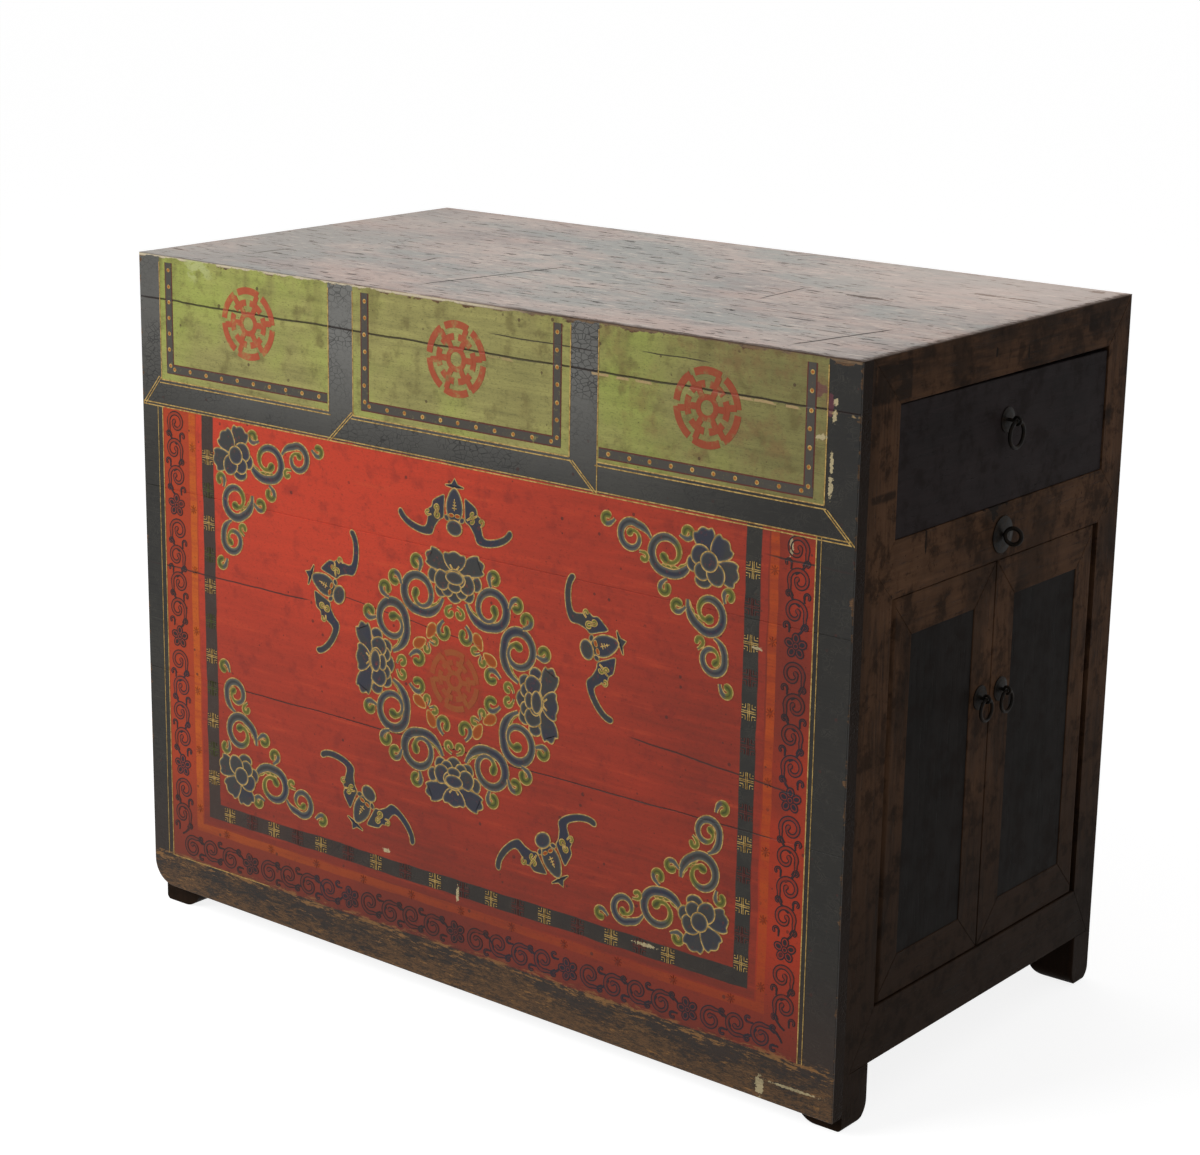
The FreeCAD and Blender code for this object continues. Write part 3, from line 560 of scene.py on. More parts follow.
UP, ALONG, ACROSS = (7.0, 7.0, 0.6), (0.6, 7.0, 7.0), (7.0, 0.6, 7.0)
CASE_TONES = ((66, 48, 36), (106, 77, 57), (128, 94, 70))
DOOR_TONES = ((24, 21, 19), (34, 30, 28), (43, 38, 35))
DRAWER_TONES = ((40, 35, 35), (51, 44, 44), (61, 54, 53))
INNER_TONES = ((92, 66, 44), (134, 100, 68), (160, 124, 88))
TOP_TONES = ((104, 86, 76), (156, 134, 120), (186, 166, 150))
inner_along = wood("inner_wood_long", ALONG, INNER_TONES, 0.3)
inner_across = wood("inner_wood_across", ACROSS, INNER_TONES, 0.3)
panel_up = wood("door_panel_wood", UP, DOOR_TONES, 0.5)
panel_across = wood("drawer_front_wood", ACROSS, DRAWER_TONES, 0.5)
print("plain woods made")

# %% [markdown]
# The top is bare: sun and hands have bleached it to a greyish pink, stains have turned patches of it
# green-grey, and its rim is dark with dirt. Three kinds of piece reach the upper face, so its look is one
# more group, with a mask that is 1 only on that face.

# %% Bare top group
top_group, net, _, result = new_group("bare top", {}, FINISH | {"Mask": FLOAT, "Coat": FLOAT})
place = net.place()
x, y, z = net.axes(place)
wood_colour, _, wood_height = grain(net, ALONG, TOP_TONES, 0.15)
patches = net.clouds(place, 4.2, 6.0, 0.66, (0.8, 1.6, 1))
scuffs = net.clouds(place, 40.0, 8.0, 0.78, (1, 4, 1))
scuff_dark = net.spread(scuffs, 0.55, 0.64, 0.0, 0.75)
mottle = net.clouds(place, 90.0, 5.0, 0.7)
dashes = net.clouds(place, 28.0, 5.0, 0.62, (1, 6, 1))
dash_dark = net.spread(dashes, 0.6, 0.635, 0.0, 0.85)
pinpricks = net.specks(place, 42.0, 0.55, 0.16, (1, 1.6, 1))
splits = draw_cracks(net, y, x, net.wander(place), [
    (-0.23, -0.013, -0.127, 0.19, 0.0022), (-0.045, 0.065, 0.216, -0.04, 0.0018),
    (-0.259, -0.102, 0.404, 0.2, 0.0024), (0.245, 0.288, 0.055, 0.75, 0.002),
    (-0.2, -0.13, -0.432, 0.1, 0.002), (-0.105, -0.06, -0.24, -0.1, 0.0022)])
knots = draw_blots(net, x, y, mottle, [(0.395, 0.16, 0.02, 0.006), (0.435, 0.16, 0.024, 0.004),
                                       (0.474, 0.268, 0.01, 0.008), (0.3, 0.05, 0.026, 0.006)])
bleached = net.meet((x, 0.05, 0.4, 0.0, 0.45), (y, -0.05, 0.22))
rim = net.sway(scuffs, 0.05, net.math("MINIMUM", net.minus(RIGHT, x), net.minus(y, FRONT)))
rim_dark = net.meet((rim, 0.014, 0.003, 0.0, 0.85), (x, -0.1, 0.15, 0.25, 1.0))
colour = net.lay(
    wood_colour,
    (patches, 0.48, 0.6, 0.75, (112, 116, 108)),
    (patches, 0.48, 0.38, 0.55, (158, 118, 98)),
    (scuff_dark, (72, 64, 58)),
    (mottle, 0.5, 0.66, 0.4, (92, 84, 76)),
    (dash_dark, (52, 45, 41)),
    (dashes, 0.4, 0.36, 0.55, (206, 186, 168)),
    (net.times(pinpricks, 0.7), (44, 38, 35)),
    (net.times(splits, 0.9), (30, 24, 20)),
    (net.times(knots, 0.8), (46, 38, 34)),
    (x, -0.2, -0.5, 0.4, (112, 92, 78)),
    (bleached, (218, 192, 176)),
    (rim_dark, (58, 44, 35)))
matt = net.either(rim_dark, knots, splits, pinpricks, dash_dark, net.times(scuff_dark, 0.6))
net.fill(result, {"Colour": colour, "Roughness": net.add(patches, 0.3, 0.28), "Height": wood_height,
                  "Mask": net.spread(z, TOP - 0.0012, TOP - 0.0003),
                  "Coat": net.spread(matt, 0.0, 0.9, WAX_COAT, 0.0)})


def coated(net, group):
    """The four results of a group that draws a coated finish."""
    made = net.call(group, {})
    return [made[name] for name in ("Colour", "Roughness", "Height", "Coat")]


def with_bare_top(net, colour, roughness, height, coat=0.0):
    """A finish that gives way to the bare top on the upper face."""
    top = net.call(top_group, {})
    coat = net.spread(top["Mask"], 0.0, 1.0, coat, top["Coat"])
    return net.mix(top["Mask"], colour, top["Colour"]), roughness, height, coat


top_wood = new_material("top_wood", lambda net: coated(net, top_group))
front_paint = new_material("front_paint", lambda net: with_bare_top(net, *coated(net, ground_and_painted_light_group)))
back_wood = new_material("back_wood", lambda net: with_bare_top(net, *grain(net, ALONG, INNER_TONES, 0.3)))
print("bare top group:", len(top_group.nodes), "nodes")

# %% [markdown]
# The end frame is the same wood, kept dark by oil. Its joints have been packed and stained: dark tenon
# patches in both upper corners and wedge marks where the middle rail meets the posts. Lower down the wood
# is painted darker towards the floor, as painted shade.

# %% End frame
marks_and_shade_group, net, _, result = new_group("end marks and painted shade", {}, {"Mask": FLOAT})
place = net.place()
x, y, z = net.axes(place)
ragged = net.clouds(place, 60.0, 4.0, 0.6)
pits = net.clouds(place, 170.0, 4.0, 0.7, (1, 0.7, 1))
pits = net.meet((pits, 0.6, 0.68, 0.0, 0.8), (ragged, 0.4, 0.6))
PATCH_SOFT = 0.002
patch_boxes = ((-0.264, -0.19, 0.8, 0.842), (0.184, 0.234, 0.818, 0.838), (-0.262, -0.212, 0.697, 0.706),
               (0.236, 0.249, 0.702, 0.722))
patches = [net.times(net.within(y, low_y, high_y, PATCH_SOFT), net.within(z, low_z, high_z, PATCH_SOFT))
           for low_y, high_y, low_z, high_z in patch_boxes]
patches = net.meet(net.either(*patches), (ragged, 0.36, 0.52, 0.35, 0.8))
spots = draw_blots(net, y, z, ragged, [
    (-0.004, 0.662, 0.024, 0.022), (0.158, 0.683, 0.004, 0.004), (-0.02, 0.822, 0.0022, 0.006),
    (-0.148, 0.64, 0.0016, 0.014), (0.05, 0.815, 0.0016, 0.008)])
rub = net.spread(net.clouds(place, 8.0, 5.0, 0.65, (1, 1, 0.5)), 0.44, 0.62, 0.0, 0.65)
corner_dark = net.spread(y, -0.24, -0.268, 0.0, 0.5)
mask = net.meet(net.either(patches, spots, rub, corner_dark, pits), (x, 0.4, 0.45))
# painted shade: the wood is painted darker from 0.6 m down towards the floor, and darker still just above it
mask = net.either(mask, net.spread(z, 0.6, 0.05, 0.0, 0.9), net.spread(z, 0.105, 0.06, 0.0, 0.92))
net.fill(result, {"Mask": mask})


def end_wood(name, stretch):
    """Case wood with the end frame's marks and painted shade, and the bare top where it reaches the upper
    face.
    """
    def draw(net):
        colour, roughness, height = grain(net, stretch, CASE_TONES, 0.65)
        colour = net.mix(net.call(marks_and_shade_group, {})["Mask"], colour, (28, 20, 14))
        return with_bare_top(net, colour, roughness, height)

    return new_material(name, draw)


post_wood = end_wood("post_wood", UP)
rail_wood = end_wood("rail_wood", ACROSS)
print("end marks and painted shade group:", len(marks_and_shade_group.nodes), "nodes")

# %% [markdown]
# ## Iron
# The rings, plates and eyes are forged, handled for many years and gone nearly black. Iron that is hardly
# bright any more, with a blotchy surface, does that. A little brown stands for rust where nothing rubs.

# %% Iron
def draw_iron(net):
    place = net.place()
    blotch = net.clouds(place, 160.0, 5.0, 0.65)
    colour = net.mix(net.spread(blotch, 0.42, 0.66), (26, 24, 22), (40, 32, 25))
    return colour, net.add(blotch, 0.4, 0.25), net.clouds(place, 700.0, 3.0, 0.6)


old_iron = new_material("old_iron", draw_iron, IRON_SHINE, 0.1 * MM, 0.15)
print("iron made")

# %% [markdown]
# ## Dressing the frame's own pieces
# A piece from the frame keeps its mesh and only gets a finish, by its name. The grain follows the way that
# each piece was cut: posts and stiles stand, rails cross the end, boards run along the cabinet.

# %% Dress the frame
# the first row that has one of its words in the name decides
FINISHES = ((front_paint, ("front_board",)), (top_wood, ("top_board",)), (back_wood, ("back_board",)),
            (old_iron, ("plate", "staple", "ring", "lock_eye")), (post_wood, ("post", "stile")),
            (panel_across, ("drawer_front", "left_upper")), (panel_up, ("_panel",)),
            (rail_wood, ("rail", "apron")),
            (inner_across, ("floor_bearers", "door_stop", "drawer_back", "drawer_stops", "top_battens")))


def finish_for(name):
    """The finish of one piece of the frame, from its name."""
    for finish, words in FINISHES:
        if any(word in name for word in words):
            return finish
    return inner_along


for name, piece in nodes.items():
    for spot in piece.material_slots:
        spot.material = finish_for(name)
print(len(nodes), "pieces dressed")

# %% [markdown]
# ## Laying ornament on the front
# The ornament stands a few tenths of a millimetre proud, as thick paint does. It is drawn flat, in
# millimetres, on a sheet of its own, and the sheet is then stood up against the front. Every point of a
# shape carries two numbers in a UV map: which paint it is, and how far it lies from the shape's outline.
# One material can then draw the gold outline, the pale rim and the dark heart of any shape.

# %% The ornament's sheet
BLUE, GREEN, ORANGE, SLATE, FADED, RED = PAINTS = (0.0, 0.25, 0.5, 0.75, 0.88, 1.0)
PLAIN = 4.2
PAINT_THICKNESS = 0.8 * MM
PAINT_SUNK = 0.15 * MM
# one layer in metres, and the shares of it that keep shapes, stamps and the steps of a ribbon apart
LAYER = 0.05 * MM
SHAPE_GAP, STAMP_GAP, STEP_GAP = 0.08, 0.05, 0.02
SHAPE_HEIGHTS, STAMP_HEIGHTS = 12, 8


def turned(degrees, spot):
    """A flat point turned round the origin."""
    return Matrix.Rotation(math.radians(degrees), 2) @ Vector(spot)


class Sheet:
    """Flat shapes in millimetres on the XY plane, each on its own thin layer."""

    def __init__(self, draw=None, *details):
        self.mesh = bmesh.new()
        self.marks = self.mesh.loops.layers.uv.new("paint")
        self.shapes = 0
        self.stamps = 0
        if draw:
            draw(self, *details)

    def lift(self, layer):
        """A height of its own for each shape, so that no two overlap in one plane."""
        self.shapes += 1
        return layer + SHAPE_GAP * (self.shapes % SHAPE_HEIGHTS)

    def mark(self, faces, numbers):
        """Writes each vertex's paint and depth into the corners of the faces."""
        for face in faces:
            if face.normal.z < 0:
                face.normal_flip()
            for corner in face.loops:
                corner[self.marks].uv = numbers[corner.vert]

    def ribbon(self, path, halves, paints, layer=0):
        """A ribbon along a path, with half widths and paints at each point. Its edge is grown step by step,
        and climbs a few microns at each, so that a coil never meets itself in one plane."""
        numbers, faces, row = {}, [], []
        mesh = self.mesh
        layer = self.lift(layer)
        for index, (spot, half, colour) in enumerate(zip(path, halves, paints)):
            before, after = path[max(index - 1, 0)], path[min(index + 1, len(path) - 1)]
            side = Vector((before.y - after.y, after.x - before.x)).normalized() * half
            places = [spot + side, spot, spot - side]
            rise = layer + STEP_GAP * index
            if index == 0:
                row = [mesh.verts.new((*p, rise)) for p in places]
                edges = [mesh.edges.new(pair) for pair in zip(row, row[1:])]
            else:
                grown = bmesh.ops.extrude_edge_only(mesh, edges=edges)["geom"]
                faces += [item for item in grown if isinstance(item, bmesh.types.BMFace)]
                row = self.next_row(row, grown)
                for vertex, p in zip(row, places):
                    vertex.co = (*p, rise)
                edges = [edge for edge in grown if isinstance(edge, bmesh.types.BMEdge)
                         and all(end in row for end in edge.verts)]
            for vertex, depth in zip(row, (0.0, half, 0.0)):
                numbers[vertex] = (colour, depth)
        for face in faces:
            face.normal_update()
        self.mark(faces, numbers)

    @staticmethod
    def next_row(row, grown):
        """The new vertices, in the order of the old ones that they grew from."""
        fresh = {item for item in grown if isinstance(item, bmesh.types.BMVert)}
        return [next(edge.other_vert(old) for edge in old.link_edges if edge.other_vert(old) in fresh)
                for old in row]

    def plate(self, outline, colour, layer, rims):
        """A closed outline, filled and inset. Each rim is a width and the depth number at its inner edge."""
        layer = self.lift(layer)
        face = self.mesh.faces.new([self.mesh.verts.new((*p, layer)) for p in outline])
        face.normal_update()
        if face.normal.z < 0:
            face.normal_flip()
        numbers = dict.fromkeys(face.verts, (colour, 0.0))
        faces = [face]
        for width, depth in rims:
            faces += bmesh.ops.inset_individual(self.mesh, faces=[face], thickness=width,
                                                use_even_offset=True)["faces"]
            numbers |= dict.fromkeys(face.verts, (colour, depth))
        self.mark(faces, numbers)

    def strip(self, start, end, width, layer=5, colour=BLUE, depth=0.0):
        """A straight line of paint. At depth 0 it is gold."""
        layer = self.lift(layer)
        start, end = Vector(start), Vector(end)
        side = (end - start).orthogonal().normalized() * width / 2
        corners = (start + side, start - side, end - side, end + side)
        face = self.mesh.faces.new([self.mesh.verts.new((*p, layer)) for p in corners])
        face.normal_update()
        self.mark([face], dict.fromkeys(face.verts, (colour, depth)))

    def stamp(self, drawing, matrix):
        """Copies another sheet onto this one through a matrix."""
        self.stamps += 1
        data = bpy.data.meshes.new("stamp")
        drawing.mesh.to_mesh(data)
        data.transform(Matrix.Translation((0, 0, STAMP_GAP * (self.stamps % STAMP_HEIGHTS))) @ matrix)
        if matrix.determinant() < 0:
            data.flip_normals()
        self.mesh.from_mesh(data)
        bpy.data.meshes.remove(data)

    def hang(self, name, material, centre=(0.0, 0.0)):
        """Stands the sheet up against the front, centred on a point of it, and makes it an object."""
        flat = Matrix.Diagonal((MM, MM, LAYER, 1.0))
        upright = Matrix.Rotation(math.radians(90), 4, "X")
        at_front = Matrix.Translation((centre[0], FRONT - PAINT_SUNK, centre[1]))
        bmesh.ops.transform(self.mesh, matrix=at_front @ upright @ flat, verts=self.mesh.verts)
        data = bpy.data.meshes.new(name)
        self.mesh.to_mesh(data)
        self.mesh.free()
        piece = new_object(name, data)
        data.materials.append(material)
        thicken = piece.modifiers.new("paint thickness", "SOLIDIFY")
        thicken.thickness = PAINT_THICKNESS
        thicken.offset = -1
        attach(piece, "carcass")
        print(f"{name}: {len(data.polygons)} faces")


def at(x, z, turn=0.0, across=1.0, up=1.0):
    """The matrix that stretches or mirrors a drawing, turns it and moves it to a point, in metres."""
    return (Matrix.Translation((x / MM, z / MM, 0)) @ Matrix.Rotation(math.radians(turn), 4, "Z")
            @ Matrix.Diagonal((across, up, 1, 1)))


def stamped(stamps):
    """A sheet of many drawings, each with its matrix."""
    sheet = Sheet()
    for drawing, matrix in stamps:
        sheet.stamp(drawing, matrix)
    return sheet


# %% [markdown]
# ## The ornament's paint
# The depth number draws the brushwork: gold at the outline, a pale blue-grey band inside it, and a dark
# heart. The paint number picks the colour. Where age has rubbed the ornament away, the ground group gives
# the red or green beneath, so the worn places match the boards exactly.

# %% Ornament material
RIM_TONES = ((88, 88, 82), (108, 108, 42), (166, 88, 28), (74, 68, 60), (96, 42, 34), (156, 56, 40))
HEART_TONES = ((47, 47, 46), (54, 60, 24), (144, 66, 20), (68, 64, 58), (84, 36, 30), (146, 46, 34))


def read_marks(net):
    """The paint number and the depth at a point of the ornament."""
    kind, depth, _ = net.axes(net.node("ShaderNodeUVMap", {}, uv_map="paint").outputs[0])
    return kind, depth


def draw_ornament(net):
    ground = net.call(ground_and_painted_light_group, {})
    kind, depth = read_marks(net)
    place = net.place()
    wear = net.clouds(place, 70.0, 6.0, 0.7)
    brush = net.clouds(place, 240.0, 3.0, 0.6)
    blueness = net.meet((net.clouds(place, 14.0), 0.46, 0.58, 0.0, 0.8), (kind, 0.1, 0.02))
    heart = net.mix(blueness, net.ramp(kind, PAINTS, HEART_TONES), (34, 36, 54))
    gold = net.mix(net.spread(brush, 0.35, 0.65), (146, 114, 58), (204, 170, 100))
    rubbed = net.spread(wear, 0.6, 0.74, 0.0, 0.75)
    rubbed = net.add(net.spread(brush, 0.55, 0.8), 0.25, rubbed, clamp=True)
    colour = net.lay(
        net.ramp(kind, PAINTS, RIM_TONES),
        (net.sway(wear, 1.2, depth), 1.6, 5.2, 1.0, heart),
        (depth, 1.5, 0.95, 1.0, gold),
        (rubbed, ground["Colour"]),
        (ground["Worn"], ground["Colour"]))
    return colour, net.add(brush, 0.2, 0.34), ground["Height"]


ornament_paint = new_material("ornament_paint", draw_ornament, LACQUER_SHINE)
print("ornament_paint reads the map called paint")

# %% [markdown]
# ## Scrolls by formula
# Nearly all of the ornament is one form: a ribbon that leaves a flower, swings round in a ring and curls
# into a comma. In polar terms that is a radius that shrinks, holds and shrinks again. One function gives
# the path for every scroll on the front, large and small, and only its numbers differ.

# %% Scroll path
def scroll_path(centre, ring, enter, hand, turn, eye, lead=0.0, lead_turn=90, hold=0.55, step=12):
    """A path in towards an eye. Enter is the angle on the ring where it starts to hold; lead is how much
    further out it begins, lead_turn degrees before that; hand is 1 for anticlockwise and -1 for clockwise."""
    path = []
    count = round((turn + lead_turn) / step)
    for index in range(count + 1):
        angle = -lead_turn + (turn + lead_turn) * index / count
        radius = ring
        if angle < 0:
            radius += lead * (-angle / lead_turn) ** 1.3
        elif angle > hold * turn:
            fall = (angle - hold * turn) / (turn - hold * turn)
            radius = eye + (ring - eye) * (1 + math.cos(math.pi * fall)) / 2
        path.append(Vector(centre) + turned(enter + hand * angle, (radius, 0)))
    return path


def along(stops, count):
    """Smooth values at count points from (share, value) stops."""
    values = []
    for index in range(count):
        share = index / (count - 1)
        for (low, start), (high, end) in zip(stops, stops[1:]):
            if share <= high and high > low:
                ease = (share - low) / (high - low)
                ease = ease * ease * (3 - 2 * ease)
                values.append(start + (end - start) * ease)
                break
    return values


ROUND_END = (0.35, 0.65, 0.86, 0.97)
SCROLL_SHAPE = ((0, 0.5), (0.08, 1.05), (0.3, 1.1), (0.5, 0.95), (0.66, 0.8), (0.8, 0.52), (0.87, 0.62),
                (0.93, 1.0), (1, 1.05))
COMMA_SHAPE = ((0, 0.6), (0.25, 0.85), (0.55, 1), (1, 1.12))


def scroll(sheet, half, layer=1, tip=0.8, shape=SCROLL_SHAPE, **path_numbers):
    """A blue ribbon that turns green towards its round end. Half is its half width in millimetres."""
    path = scroll_path(**path_numbers)
    halves = along([(share, half * width) for share, width in shape], len(path))
    paints = along([(0, BLUE), (tip, BLUE), (min(tip + 0.08, 0.98), GREEN), (1, GREEN)], len(path))
    last, way, end = path[-1], (path[-1] - path[-2]).normalized(), halves[-1]
    for share in ROUND_END:
        path.append(last + way * end * share)
        halves.append(end * math.sqrt(1 - share * share))
        paints.append(GREEN)
    sheet.ribbon(path, halves, paints, layer)


def comma(sheet, centre, size, enter, hand, turn=265, half=0.0, lead=3.0, layer=2, tip=0.35):
    """A thick hook that ends in a round bulb. Size is the radius of its bend."""
    scroll(sheet, half or size * 0.62, layer, tip, COMMA_SHAPE, centre=centre, ring=size, enter=enter,
           hand=hand, turn=turn, eye=size * 0.45, lead=lead, lead_turn=40, hold=0.25)


def wavy_edge(sheet, inside, frill, centre, ring, enter, hand, lead, lead_turn=90):
    """The frilled green leaf edge on the inner side of a scroll, where it leaves the flower."""
    path = scroll_path(centre, ring, enter, hand, 40, ring, lead, lead_turn, hold=1, step=5)
    halves = []
    for index, spot in enumerate(path):
        share = index / (len(path) - 1)
        rise = frill * math.sin(math.pi * share) ** 0.6 * (1 + 0.25 * math.cos(share * 10 * math.pi))
        spot += (Vector(centre) - spot).normalized() * (inside + rise / 2 - 1)
        halves.append(rise / 2 + 1)
    sheet.ribbon(path, halves, [GREEN] * len(path), 0)


print("a full scroll path has", len(scroll_path((0, 0), 21, -90, 1, 450, 3.2, 17)), "points")

# %% [markdown]
# ## Petals
# A peony is many petals laid over one another, the nearest on top. Each petal is a circle whose radius is
# drawn in between a few lobes, then squeezed and turned into place. Layers keep the order in which the
# painter outlined them.

# %% Petal and peony
def smooth(points, per_span=3):
    """A closed curve through the points."""
    outline = []
    total = len(points)
    for index in range(total):
        a, b, c, d = (Vector(points[(index + k) % total]) for k in (-1, 0, 1, 2))
        for step in range(per_span):
            t = step / per_span
            outline.append(0.5 * (2 * b + (c - a) * t + (2 * a - 5 * b + 4 * c - d) * t * t
                                  + (3 * b - a - 3 * c + d) * t ** 3))
    return outline


def petal(sheet, centre, width, height, turn=0.0, lobes=0, depth=0.12, point=0.0, colour=BLUE, layer=3,
          points=28):
    """A petal. Its tip looks up before it is turned. Lobes scallop the outer half, point sharpens the tip."""
    outline = []
    for index in range(points):
        angle = 2 * math.pi * index / points
        out = max(0.0, math.sin(angle))
        radius = 1 - depth * abs(math.sin(lobes * (angle - math.pi / 2) / 2)) * out
        radius *= 1 + point * out ** 6
        spot = (math.cos(angle) * radius * width / 2, math.sin(angle) * radius * height / 2)
        outline.append(Vector(centre) + turned(turn, spot))
    small = min(width, height)
    sheet.plate(outline, colour, layer, ((min(1.5, small * 0.13), 1.2), (min(2.2, small * 0.16), 4.6)))


FAN = [(0, -50), (16, -44), (36, -24), (48, 2), (51, 22), (43, 39), (27, 38), (16, 45), (0, 50)]


def fan(sheet, centre, width, height, turn=0.0, lean=0.0, layer=3):
    """A broad petal with three lobes on a narrow foot. Lean moves its middle lobe to one side."""
    half = FAN + [(-across, up) for across, up in reversed(FAN[1:-1])]
    leaning = [((across + lean * max(up, 0)) / 100, up / 100) for across, up in half]
    outline = [Vector(centre) + turned(turn, (p.x * width, p.y * height)) for p in smooth(leaning, 2)]
    sheet.plate(outline, BLUE, layer, ((1.4, 1.2), (2.0, 4.6)))


def peony(sheet):
    """One flower, 89 mm wide, looking up. Its far petals come first."""
    for side in (-1, 1):
        petal(sheet, (side * 33, 0), 17, 20, turn=-side * 15, lobes=2, depth=0.15, layer=3)
        fan(sheet, (side * 25, 18.5), 26, 42, -side * 66, side * 0.15, layer=4)
        petal(sheet, (side * 21, -16), 20, 18, turn=180 + side * 25, lobes=2, layer=4)
    fan(sheet, (0, 21), 35, 26, layer=5)
    petal(sheet, (0, -20), 24, 18, turn=180, lobes=2, layer=5)
    for side in (-1, 1):
        sheet.strip((side * 0.4, 9), (side * 7, 17), 2.4, 6)
        petal(sheet, (side * 11, -13.5), 19, 18, turn=180 + side * 15, layer=6)
        petal(sheet, (side * 19, -3), 25, 26, turn=-side * 20, lobes=3, depth=0.14, layer=7)
    petal(sheet, (0, 1), 34, 24, lobes=3, layer=7)
    petal(sheet, (0, -9), 21, 14, turn=180, layer=8)
    petal(sheet, (0, 2), 28, 17, lobes=2, depth=0.06, layer=9)


print("petals and peony ready")

# %% [markdown]
# ## The medallion
# Four peonies stand round a disc, with a pair of scrolls between neighbours. The whole ring is one eighth
# drawn eight times: an eighth, its mirror image, and both turned by quarters. The disc in the middle is a
# faint, browner red with a plain six-part fret, which comes with the roundels.

# %% Medallion
def eighth(sheet):
    """What lies between the top flower's axis and the diagonal on its right."""
    petal(sheet, (35, 55), 15, 20, turn=-150, point=0.35, colour=ORANGE, layer=0)
    wavy_edge(sheet, 4.8, 5.5, centre=(56.5, 95.6), ring=21.5, enter=-90, hand=1, lead=18)
    scroll(sheet, 6.0, centre=(56.5, 95.6), ring=21.0, enter=-90, hand=1, turn=455, eye=3.0, lead=18,
           hold=0.6)
    comma(sheet, (59, 131.5), 7.6, 205, -1, half=4.8)
    comma(sheet, (92, 106), 7.8, 165, -1, half=4.8)
    comma(sheet, (15.5, 57), 9.0, 45, -1, half=4.7, turn=255)
    comma(sheet, (7.2, 81), 6.0, 75, -1, turn=240, half=3.5, tip=0.0)
    comma(sheet, (43, 31), 4.8, 145, 1, turn=230, half=3.2, tip=0.2)


part, flower = Sheet(eighth), Sheet(peony)
quarter = stamped([(part, at(0, 0)), (part, at(0, 0, across=-1)), (flower, at(0, 0.121))])
ring = stamped([(quarter, at(0, 0, 90 * count)) for count in range(4)])
ring.hang("medallion_ring", ornament_paint, MEDALLION)

# %% [markdown]
# ## Corner sprays
# In each corner of the red field a flower lies on its side and sends out two arms of scrolls. One spray is
# drawn for the upper right corner, with the flower at its origin, and mirrored into the others.

# %% Corner sprays
def spray(sheet):
    """A side-on flower with one arm to the left and one downwards."""
    fan(sheet, (-5, 24), 30, 32, 18, layer=3)
    fan(sheet, (15, 17), 30, 32, -45, layer=4)
    fan(sheet, (24, -6), 30, 34, -102, layer=5)
    petal(sheet, (-20, -3), 18, 20, layer=4)
    petal(sheet, (-6, -20), 24, 18, turn=180, layer=4)
    petal(sheet, (-11, 8), 27, 24, turn=30, lobes=2, depth=0.1, layer=6)
    petal(sheet, (-8, -10), 22, 21, turn=150, layer=6)
    petal(sheet, (10, -11), 25, 28, turn=-150, lobes=2, depth=0.08, layer=7)
    petal(sheet, (1, 2), 24, 24, layer=8)
    wavy_edge(sheet, 4.6, 5.5, centre=(-56, 0), ring=20, enter=-90, hand=-1, lead=15)
    scroll(sheet, 5.7, centre=(-56, 0), ring=19.5, enter=-90, hand=-1, turn=400, eye=4.4, lead=15, tip=0.6)
    comma(sheet, (-29, 29), 7.0, -120, 1, turn=290)
    comma(sheet, (-56, -37), 7.2, 120, 1, turn=260)
    scroll(sheet, 4.9, 2, centre=(-103, 14), ring=14.8, enter=60, hand=1, turn=430, eye=3.4, lead=12,
           lead_turn=60, tip=0.68, hold=0.45)
    comma(sheet, (-86, -8), 5.2, 100, -1, turn=230, tip=0.0)
    comma(sheet, (-136, 28), 7.0, -40, -1, turn=240)
    wavy_edge(sheet, 4.6, 4.5, centre=(2, -57), ring=20, enter=-140, hand=1, lead=12, lead_turn=65)
    scroll(sheet, 5.6, centre=(2, -57), ring=18.8, enter=-130, hand=1, turn=420, eye=4.2, lead=12, tip=0.6,
           lead_turn=75, hold=0.48)
    comma(sheet, (28, -32), 6.8, -160, -1, turn=240)
    comma(sheet, (-39, -53), 7.2, -40, -1, turn=260)
    scroll(sheet, 4.9, 2, centre=(10, -105), ring=14.6, enter=10, hand=-1, turn=420, eye=3.8, lead=10,
           lead_turn=80, tip=0.66, hold=0.45)
    comma(sheet, (-10, -88), 5.6, -60, 1, turn=230, tip=0.0)
    comma(sheet, (28, -135), 7.2, 190, 1, turn=240)


spray_sheet = Sheet(spray)
corners = [(0.3298, 0.61, 1, 1), (-0.375, 0.618, -1, 1), (-0.375, 0.212, -1, -1),
           (0.3298, 0.205, 1, -1)]
sprays = stamped([(spray_sheet, at(x, z, 0, *mirror)) for x, z, *mirror in corners])
sprays.hang("corner_sprays", ornament_paint)

# %% [markdown]
# ## Bats
# Five bats fly towards the medallion. A bat is a round head, a drop-shaped body with a three-pointed tail,
# and two wings. A wing has an outline of its own: a few points that the eye can check against the picture,
# with the same smooth curve run through them as the broad petals have.

# %% Bat
WING = [(15, 36), (24, 33), (33, 27), (35, 20), (40, 16), (41, 6), (45, -5), (59, -4), (73, 2), (80, 9.5),
        (85, 9), (86, 3), (79, -5), (66, -12), (48, -16), (34, -14), (29, -4), (22, 5), (16, 9), (15, 22)]
TAIL = [(-3, 42), (-4, 45), (-13, 46), (-14, 49), (-5, 51), (0, 58), (5, 51), (14, 49), (13, 46), (4, 45),
        (3, 42)]
WING_RIMS, TAIL_RIMS = ((1.2, 1.5), (1.2, 5.4)), ((1.1, 1.5), (0.8, 5.4))


